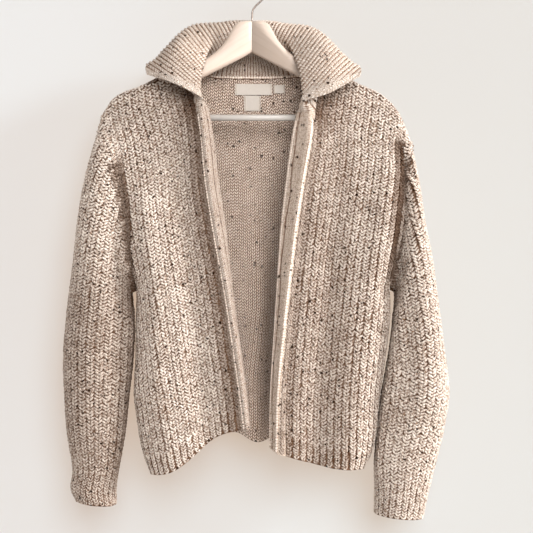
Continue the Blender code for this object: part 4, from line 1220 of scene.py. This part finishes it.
OUTER_SKIN, INNER_SKIN = 1.0, 1.4
STITCH_LIFT = 0.7
SLEEVE_RIBS_HALF, SLEEVE_RIB_WIDTH, SLEEVE_FREE = 12, 1.12, 2.5
SLEEVE_FULL_AT = -600.0
CUFF_COURSE, CUFF_WIDTH = 4.2, 0.92
BACK_RIBS, FRONT_RIBS = 48, 24
FRONT_PLAIN = {"front_right": 2.5, "front_left": 5.0}
FRONT_START = 1.5
FRONT_RIBS_TOP = 11.4
# strength of the painted shade over the lower right sleeve and over the left front
FOREARM_PAINTED_SHADE, CHEST_PAINTED_SHADE = 0.24, 0.16
cloth, stitches = {}, {}


def sleeve_spots(grid, normal):
    """Stitches of a sleeve, worked out for its front half and then for its back half."""
    halves = []
    for direction in (1, -1):
        flat, facing = sleeve_half(grid, normal, direction)
        width = runs_of(flat)[0][:, -1]
        under = int(np.argmin(abs(flat[:, 0, 2] - SLEEVE_FULL_AT)))
        pitch = np.where(np.arange(len(flat)) < under, width[under], width) / SLEEVE_RIBS_HALF
        arm_rows = int(np.sum(flat[:, 0, 2] > grid[0, grid.shape[1] // 2, 2]))
        ribs = straight_ribs(flat, 0.5 * pitch, pitch, 0.0, 2 * SLEEVE_RIBS_HALF, SLEEVE_FREE, arm_rows,
                             SLEEVE_FREE)
        ribs = [(place, there, SLEEVE_RIB_WIDTH * wide) for place, there, wide in ribs]
        halves.append(stitch_places(flat, facing, ribs, CUFF_HEIGHT, STITCH_LIFT, CUFF_COURSE,
                                    edge_width=CUFF_WIDTH, start_free=0.0))
    return [np.concatenate(both) for both in zip(*halves)]


def body_spots(name, grid, normal):
    """Stitches of a front, counted from its band, or of the back, counted from its middle."""
    run = runs_of(grid)[0]
    if name == "back":
        ribs = straight_ribs(grid, run[:, -1] / 2, RIB_PITCH, -(BACK_RIBS - 1) / 2 * RIB_PITCH, BACK_RIBS,
                             edged=ARM_ROWS, both=True)
    else:
        pitch = np.minimum(RIB_PITCH, (run[:, -1] - FRONT_PLAIN[name]) / FRONT_RIBS_TOP)
        ribs = straight_ribs(grid, 0.0, pitch, FRONT_PLAIN[name], FRONT_RIBS, edged=ARM_ROWS,
                             start=FRONT_START)
    return stitch_places(grid, normal, ribs, HEM_HEIGHT, STITCH_LIFT)


for seed, name in enumerate(("front_right", "front_left", "back", "sleeve_right", "sleeve_left")):
    grid, normal = grids[name], normals[name]
    tube = name.startswith("sleeve")
    cloth[name] = wall_object(name + "_cloth", grid, normal, OUTER_SKIN, INNER_SKIN, tube)
    cloth[name].data.materials.append(painted_shade_backing)
    cloth[name].data.materials.append(inner_painted_shade_backing)
    skin = (len(grid) - 1) * (grid.shape[1] if tube else grid.shape[1] - 1)
    kinds = np.zeros(len(cloth[name].data.polygons), dtype=np.int32)
    kinds[skin:2 * skin] = 1
    cloth[name].data.polygons.foreach_set("material_index", kinds)
    spots = sleeve_spots(grid, normal) if tube else body_spots(name, grid, normal)
    # painted shade in the hollows along the seams, the band, the neck and the gap under the arm
    painted_shade = near_lines(spots[0], painted_shade_lines(name))
    # painted shade: the right sleeve below 400 mm and the left front inside 165 mm from the middle are
    # darker
    if name == "sleeve_right":
        painted_shade = np.maximum(painted_shade, FOREARM_PAINTED_SHADE * ease((-spots[0][:, 2] - 400.0) / 120.0))
    if name == "front_left":
        painted_shade = np.maximum(painted_shade, CHEST_PAINTED_SHADE * ease((165.0 - spots[0][:, 0]) / 25.0))
    stitches[name] = knit(name + "_stitches", rib_stitch, *spots, raised, 11 + seed, painted_shade=painted_shade)
    triangles = sum(len(p.vertices) - 2 for p in stitches[name].data.polygons)
    print(name, "stitches:", len(spots[0]), "triangles:", triangles)

# %% [markdown]
# ## The inside of the back
# Between the open fronts the inside of the back shows.  It is the flat side of the knit: small Vs
# close together.  They are real stitches too, but of only eight faces each.

# %% Fine stitches inside the back
FINE_PITCH, FINE_COURSE, FINE_RIBS, FINE_FREE = 6.2, 4.7, 84, 3.0
BAND_PAINTED_SHADOW = [(34.0, -341.0), (25, -450), (20, -560), (18, -716)]
grid, normal = grids["back"], normals["back"]
ribs = straight_ribs(grid, runs_of(grid)[0][:, -1] / 2, FINE_PITCH, -(FINE_RIBS - 1) / 2 * FINE_PITCH,
                     FINE_RIBS, FINE_FREE, start=FINE_FREE)
where, out, up, size = stitch_places(grid, normal, ribs, 0.0, 0.0, course=FINE_COURSE,
                                     start_free=FINE_FREE)
where = where - out * (INNER_SKIN - 0.15)
size = np.stack([size[:, 0] * STITCH_SIZE[0] / FINE_PITCH, np.ones(len(size)), np.ones(len(size))],
                axis=1)
# painted shadow of the left band on the inside of the back, fading away from the given line
beside_band = on_cloth(grid, BAND_PAINTED_SHADOW)
painted_shade = near_lines(where, [(beside_band, 0.08, 12.0), (beside_band[1:], 0.14, 11.0)])
inside = knit("back_inside_stitches", fine_stitch, where, -out, up, size, fine_raised, 31, 0.06, 0.05,
              painted_shade)
print("inside stitches:", len(where))

# %% [markdown]
# ## The front bands
# The bands are plain knit, folded double.  A chain of edge stitches runs beside each one, where the
# fold shows the last stitch of every row.  Over the seam side of each band lies one rib more.

# %% Bands and their chains
TOP_FREE = 2
BAND_HALF = {
    "right": np.interp(np.linspace(0, 1, BAND_COLUMNS), [0, 0.33, 0.66, 1], [2.3, 2.3, 1.6, 2.3]),
    "left": np.interp(np.linspace(0, 1, BAND_COLUMNS), [0, 0.3, 0.5, 0.7, 0.85, 1],
                      [1.6, 1.9, 1.4, 2.2, 2.2, 1.8]),
}
CREASE_AT, CREASE_DEPTH, CREASE_WIDTH = {"right": 0.68, "left": 0.77}, 1.5, 0.05
CREASE_WANDER = {"right": 0.3, "left": 1.0}


def crease(side, rows):
    """Depth of the stitched groove over a band; it wanders a little on its way down."""
    across = np.linspace(0, 1, BAND_COLUMNS)[None, :]
    wander = 0.035 * np.sin(np.arange(rows) / 4.1) + 0.02 * np.sin(np.arange(rows) / 1.7)
    centre = CREASE_AT[side] + CREASE_WANDER[side] * wander
    return np.exp(-((across - centre[:, None]) / CREASE_WIDTH) ** 2)


def line_points(line, step):
    """Even places along a falling line, the direction that climbs it, and how far each is down it."""
    run = lengths(line)
    wanted = np.arange(step / 2, run[-1] - step / 2, step)
    at = read_at(wanted, run, line)
    return at, -unit(np.gradient(at, axis=0)), wanted


def chain(name, column, lift, step, stitch, wool, seed, width=1.0, painted_shade=(0.0, 0.0)):
    """One column of stitches on a band, at a fraction of its width; painted shade at its top and its end.
    """
    band = "_".join(name.split("_")[:2])
    grid, normal = grids[band], normals[band]
    c = np.broadcast_to(column, len(grid)) * (grid.shape[1] - 1)
    rows = np.arange(len(grid), dtype=float)
    line, out = read_grid(grid, rows, c)[TOP_FREE:], read_grid(normal, rows, c)[TOP_FREE:]
    at, up, wanted = line_points(line, step)
    facing = unit(read_at(wanted, lengths(line), out))
    size = np.tile([width, step / 4.5, 1.0], (len(at), 1))
    return knit(name, stitch, at + facing * lift, facing, up, size, wool, seed, 0.12, 0.1,
                np.linspace(painted_shade[0], painted_shade[1], len(at)))


chains = {}
for side in ("right", "left"):
    name = "band_" + side
    grid, normal = grids[name], normals[name]
    groove = crease(side, len(grid))
    cloth[name] = wall_object(name + "_cloth", grid, normal, BAND_HALF[side] - CREASE_DEPTH * groove,
                              BAND_HALF[side])
    cloth[name].data.materials.append(band_knit[side])
    # crest is low in the stitched groove, which gets painted shade
    set_shares(cloth[name].data, "crest", np.concatenate([(1 - groove).ravel(), np.ones(groove.size)]))
down = np.linspace(0, 1, len(grids["band_left"]))
LAST_RIB = np.interp(down, [0, 0.3, 0.65, 1], [0.02, 0.08, 0.14, 0.24])
# the rib over each band's seam gets painted shade from its top to its end
chains["band_left"] = [
    chain("band_left_rib", LAST_RIB, 1.4, COURSE, rib_stitch, raised, 40, 0.85, (0.3, 0.3)),
    chain("band_left_chain", LAST_RIB + 0.2, 2.1, 4.4, bead, fine_raised, 41, 1.2),
    chain("band_left_edge", 0.92, 1.6, 4.0, bead, fine_raised, 42, 0.9),
]
chains["band_right"] = [
    chain("band_right_chain", 0.2, 1.8, 4.2, bead, fine_raised, 43, 1.0),
    chain("band_right_rib", 0.07, 0.9, COURSE, rib_stitch, raised, 44, 0.9, (0.6, 0.3)),
]
print("chains:", [piece.name for pieces in chains.values() for piece in pieces])

# %% [markdown]
# ## The collar
# A one-by-one rib stands in ridges on both of its sides: a ridge outside is a groove inside.  With
# five or six points to a rib the ridges are real, and their small stitches are bump.  The ribs stand
# side by side over the roll and fan out over the two wings, each from one point below its wing.

# %% Collar
RIDGE, RIDGE_SHARPNESS, RIDGE_MIDDLE = 2.4, 0.75, 0.35
COLLAR_HALF = 1.5
END_PLAIN, END_FADE = 4.0, 12.0
FOOT_HEIGHT = 6.0
RIBS_SHOWN = 60
WING_FANS = {
    # x and z of the point that the ribs fan out from, turn from rib to rib
    "right": (74.0, -311.0, 0.0219),
    "left": (-103.0, -399.0, -0.0165),
}


def fan_phase(side, plain):
    """Ribs that spread from one point below the wing, matched with the plain ones where it rolls."""
    x, z, step = WING_FANS[side]
    turn = np.arctan2(collar[:, :, 2] - z, (collar[:, :, 0] - x) * np.sign(-step)) / abs(step)
    turn = -turn * np.sign(-step)
    at = np.linspace(0, 1, collar.shape[1])
    near = at < 0.3 if side == "right" else at > 0.7
    roll = int(0.42 * len(collar))
    return turn + np.mean(plain[0, near] - turn[roll, near])


def ridge_height(ridge, fade, foot):
    shape = ridge ** RIDGE_SHARPNESS - RIDGE_MIDDLE
    return COLLAR_HALF + RIDGE * shape * fade * (0.3 + 0.7 * foot)


ends = np.minimum(collar_run, collar_run[-1] - collar_run)
fade = ease((ends - END_PLAIN) / END_FADE)
collar_v = runs_of(collar)[1]
share = np.linspace(0, 1, len(collar))[:, None]
place = np.linspace(0, 1, collar.shape[1])[None, :]
plain = RIBS_SHOWN * place
phase = np.tile(plain, (len(collar), 1))
for side, there in (("right", ease((0.5 - place) / 0.22)), ("left", ease((place - 0.5) / 0.22))):
    blend = there * ease((share - 0.08) / 0.14)
    phase = phase + blend * (fan_phase(side, plain) - plain)
ridge = 0.5 + 0.5 * np.cos(2 * math.pi * phase)
foot = ease(collar_v / FOOT_HEIGHT)
outer, inner = (ridge_height(skin, fade, foot) for skin in (ridge, 1 - ridge))
cloth["collar"] = wall_object("collar_cloth", collar, collar_normal, outer, inner,
                              grain=((phase + 0.5) / MM, collar_v))
cloth["collar"].data.materials.append(collar_knit)
# crest is low in the grooves between the ribs, which get painted shade
high = np.concatenate([(skin * fade + 1 - fade).ravel() for skin in (ridge, 1 - ridge)])
set_shares(cloth["collar"].data, "crest", high)
print("collar triangles:", 2 * len(cloth["collar"].data.polygons))

# %% [markdown]
# ## Seams over the shoulders and behind the neck
# Where a front meets the back, one row of stitches covers the seam.  A finer chain closes the seam
# between the collar's stand and the back.

# %% Seam chains
shoulder_chains = []
for side in ("right", "left"):
    at, up, _ = line_points(seams[side]["shoulder"][::-1], COURSE)
    facing = np.tile([0.0, 0.0, 1.0], (len(at), 1))
    facing = unit(facing - np.sum(facing * up, axis=1)[:, None] * up)
    size = np.tile([1.0, 1.02, 1.0], (len(at), 1))
    shoulder_chains.append(knit("shoulder_chain_" + side, rib_stitch, at + facing * 0.9, facing, up, size,
                                raised, 46, 0.15, 0.1))
at, up, _ = line_points(along(BACK_NECK[3:10], np.linspace(0, 1, 60)), 4.2)
facing = np.tile([0.0, -0.97, 0.25], (len(at), 1))
size = np.tile([1.1, 0.93, 1.0], (len(at), 1))
neck_chain = knit("neck_seam_chain", bead, at + facing * 2.4, facing, up, size, fine_raised, 45, 0.12,
                  0.1)
print("stitches behind the neck:", len(at))

# %% [markdown]
# ## Labels
# A woven label is a flat satin tape.  Its cut ends are folded under and sewn down with a few threads.
# The measured labels say where each one lies; here they get their weave, their folds and threads.

# %% Labels
LABEL_ROWS, LABEL_COLUMNS = 13, 41
LABEL_MARGIN, LABEL_HALF, FOLD_HALF, FOLD_WIDTH = 0.3, 0.25, 0.45, 3.5
THREAD_INSET, THREAD_STEP = 1.8, 2.4
WARP_PITCH, WEFT_PITCH = 0.0006, 0.0005


def label_cloth():
    material, tree, shader = new_material("label_satin", 0.55, Sheen_Weight=0.15)
    place = object_place(tree)
    parts = add_node(tree, "ShaderNodeSeparateXYZ", {0: place})
    warp = maths(tree, "SINE", maths(tree, "MULTIPLY", parts.outputs[0], 2 * math.pi / WARP_PITCH))
    weft = maths(tree, "SINE", maths(tree, "MULTIPLY", parts.outputs[2], 2 * math.pi / WEFT_PITCH))
    total = maths(tree, "ADD", maths(tree, "MULTIPLY", warp, 0.4), maths(tree, "MULTIPLY", weft, 0.6))
    slub = noise(tree, place, 300.0, 3.0)
    colour = blend_colours(tree, slub, (0.635, 0.57, 0.505, 1), (0.70, 0.635, 0.57, 1))
    tree.links.new(colour, shader.inputs["Base Color"])
    bump = add_node(tree, "ShaderNodeBump", {"Height": total, "Strength": 0.35, "Distance": 0.0002})
    tree.links.new(bump.outputs[0], shader.inputs["Normal"])
    return material


def speckled(name, roughness, scale, detail, colours, gloss=None, **constants):
    """Two close colours in a fine noise; gloss is the range of roughness that follows it."""
    material, tree, shader = new_material(name, roughness, **constants)
    fleck = noise(tree, object_place(tree), scale, detail)
    tree.links.new(blend_colours(tree, fleck, *colours), shader.inputs["Base Color"])
    if gloss:
        tree.links.new(remap(tree, fleck, 0.3, 0.7, *gloss), shader.inputs["Roughness"])
    return material


def merged(node):
    """The measured solid as a bmesh with its double points merged."""
    bm = bmesh.new()
    bm.from_mesh(frame["nodes"][node].data)
    bmesh.ops.remove_doubles(bm, verts=bm.verts, dist=1e-6)
    return bm


def surface_tree(node):
    bm = merged(node)
    tree = BVHTree.FromBMesh(bm)
    bm.free()
    return tree


def label(name, satin, thread, seed):
    """A satin tape that lies where the measured label lies, and its sewing threads."""
    low, high = (np.array(corner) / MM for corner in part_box(name))
    tree = surface_tree(name)
    xs = np.linspace(low[0] + LABEL_MARGIN, high[0] - LABEL_MARGIN, LABEL_COLUMNS)
    zs = np.linspace(high[2] - LABEL_MARGIN, low[2] + LABEL_MARGIN, LABEL_ROWS)
    grid = np.zeros((LABEL_ROWS, LABEL_COLUMNS, 3))
    for r, z in enumerate(zs):
        for c, x in enumerate(xs):
            hit = tree.ray_cast(Vector((x, 0, z)) * MM, Vector((0, 1, 0)))[0]
            y = hit.y / MM + 0.5 if hit else grid[r, c - 1, 1]
            grid[r, c] = (x, y, z)
    side = np.minimum(np.linspace(0, 1, LABEL_COLUMNS), np.linspace(1, 0, LABEL_COLUMNS))
    width = high[0] - low[0]
    fold = np.where(side * width < FOLD_WIDTH, FOLD_HALF, LABEL_HALF)
    grid[..., 1] += 0.15 * np.sin(np.linspace(0, 9, LABEL_COLUMNS))[None, :]
    normal = grid_normals(grid)
    if normal[..., 1].mean() > 0:
        normal = -normal
    obj = wall_object(name + "_cloth", grid, normal, fold, LABEL_HALF)
    obj.data.materials.append(satin)
    where = []
    for edge in (THREAD_INSET, width - THREAD_INSET):
        x = low[0] + edge
        c = int(np.argmin(abs(xs - x)))
        for z in np.arange(zs[-1] + 1.5, zs[0] - 1.0, THREAD_STEP):
            r = int(np.argmin(abs(zs - z)))
            where.append((x, grid[r, c, 1] - FOLD_HALF, z))
    out = np.tile([0.0, -1.0, 0.0], (len(where), 1))
    up = np.tile([0.3, 0.0, 1.0], (len(where), 1))
    size = np.tile([0.25, 0.42, 0.3], (len(where), 1))
    return obj, knit(name + "_threads", bead, np.array(where), out, up, size, thread, seed, 0.2, 0.1)


satin = label_cloth()
thread = speckled("sewing_thread", 0.6, 900.0, 2.0, ((0.30, 0.22, 0.15, 1), (0.50, 0.38, 0.28, 1)),
                  Sheen_Weight=0.2)
for seed, name in enumerate(("label_main", "label_size", "label_care")):
    cloth[name], sewn = label(name, satin, thread, 61 + seed)
    chains[name] = [sewn]
print("labels:", [n for n in cloth if n.startswith("label")])

# %% [markdown]
# ## The hanger
# The arms are sawn from a board, rounded over and varnished, so the grain runs along each arm and
# swings up towards the middle.  The bar has a gloss white coating and the hook is bright wire.

# %% Hanger materials and smooth copies
ARM_COS, ARM_SIN = 0.89, 0.46


def wood():
    """Grain along the arm: stretched noise over the distance along it and the ring across it."""
    material, tree, shader = new_material("varnished_wood", 0.5, Coat_Weight=0.1, Coat_Roughness=0.4)
    parts = add_node(tree, "ShaderNodeSeparateXYZ", {0: object_place(tree)})
    side = maths(tree, "ABSOLUTE", parts.outputs[0])
    down = maths(tree, "MULTIPLY", parts.outputs[2], -1.0)
    along_arm = maths(tree, "ADD", maths(tree, "MULTIPLY", side, ARM_COS),
                      maths(tree, "MULTIPLY", down, ARM_SIN))
    across = maths(tree, "SUBTRACT", maths(tree, "MULTIPLY", side, ARM_SIN),
                   maths(tree, "MULTIPLY", down, ARM_COS))
    bow = maths(tree, "MULTIPLY", maths(tree, "POWER", side, 2.0), 2.2)
    ring = maths(tree, "ADD", across, bow)
    fibre = add_node(tree, "ShaderNodeCombineXYZ", {0: maths(tree, "MULTIPLY", along_arm, 9.0),
                                                    1: maths(tree, "MULTIPLY", parts.outputs[1], 90.0),
                                                    2: maths(tree, "MULTIPLY", ring, 260.0)})
    streak = noise(tree, fibre.outputs[0], 1.0, 4.0)
    wide = add_node(tree, "ShaderNodeCombineXYZ", {0: maths(tree, "MULTIPLY", along_arm, 4.0),
                                                   2: maths(tree, "MULTIPLY", ring, 70.0)})
    figure = noise(tree, wide.outputs[0], 1.0, 2.0)
    grain = maths(tree, "ADD", maths(tree, "MULTIPLY", streak, 0.5), maths(tree, "MULTIPLY", figure, 0.5))
    colour = blend_colours(tree, remap(tree, grain, 0.38, 0.62), (0.575, 0.46, 0.375, 1),
                           (0.615, 0.50, 0.42, 1))
    tree.links.new(colour, shader.inputs["Base Color"])
    bump = add_node(tree, "ShaderNodeBump", {"Height": streak, "Strength": 0.12, "Distance": 0.0003})
    tree.links.new(bump.outputs[0], shader.inputs["Normal"])
    return material


def smooth_copy(node, material):
    """The measured solid with its doubles merged and its round parts shaded smooth."""
    bm = merged(node)
    mesh = bpy.data.meshes.new(node + "_finished")
    bm.to_mesh(mesh)
    bm.free()
    mesh.materials.clear()
    mesh.materials.append(material)
    mesh.shade_smooth()
    mesh.set_sharp_from_angle(angle=math.radians(50))
    return add_object(node + "_finished", mesh)


varnished = wood()
coating = speckled("white_coating_gloss", 0.3, 120.0, 4.0,
                   ((0.65, 0.605, 0.565, 1), (0.605, 0.56, 0.515, 1)), (0.22, 0.42), Coat_Weight=0.4)
steel = speckled("bright_wire", 0.28, 500.0, 3.0,
                 ((0.40, 0.34, 0.30, 1), (0.28, 0.23, 0.20, 1)), (0.2, 0.36), Metallic=1.0)
finishes = {"hanger_arm_right": varnished, "hanger_arm_left": varnished, "hanger_bar": coating,
            "hanger_hook": steel}
hanger = {name: smooth_copy(name, material) for name, material in finishes.items()}
print("hanger pieces:", sorted(hanger))

# %% [markdown]
# ## Hanging the pieces on the body
# Every piece rides on the one rigid body, and the measured node that it stands for is hidden.

# %% Pieces on the body
for name, obj in hanger.items():
    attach(obj, "root")
    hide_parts(name)
for name in stitches:
    chains.setdefault(name, []).append(stitches[name])
chains["back"] += [inside, neck_chain] + shoulder_chains


whole = dict(grids, collar=collar)
for name, obj in cloth.items():
    for piece in [obj] + chains.get(name, []):
        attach(piece, "root")
    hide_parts(name)
    if name in whole:
        tube = name.startswith("sleeve")
    else:
        low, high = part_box(name)
for helper in (rib_stitch, fine_stitch, bead):
    bpy.data.objects.remove(helper)
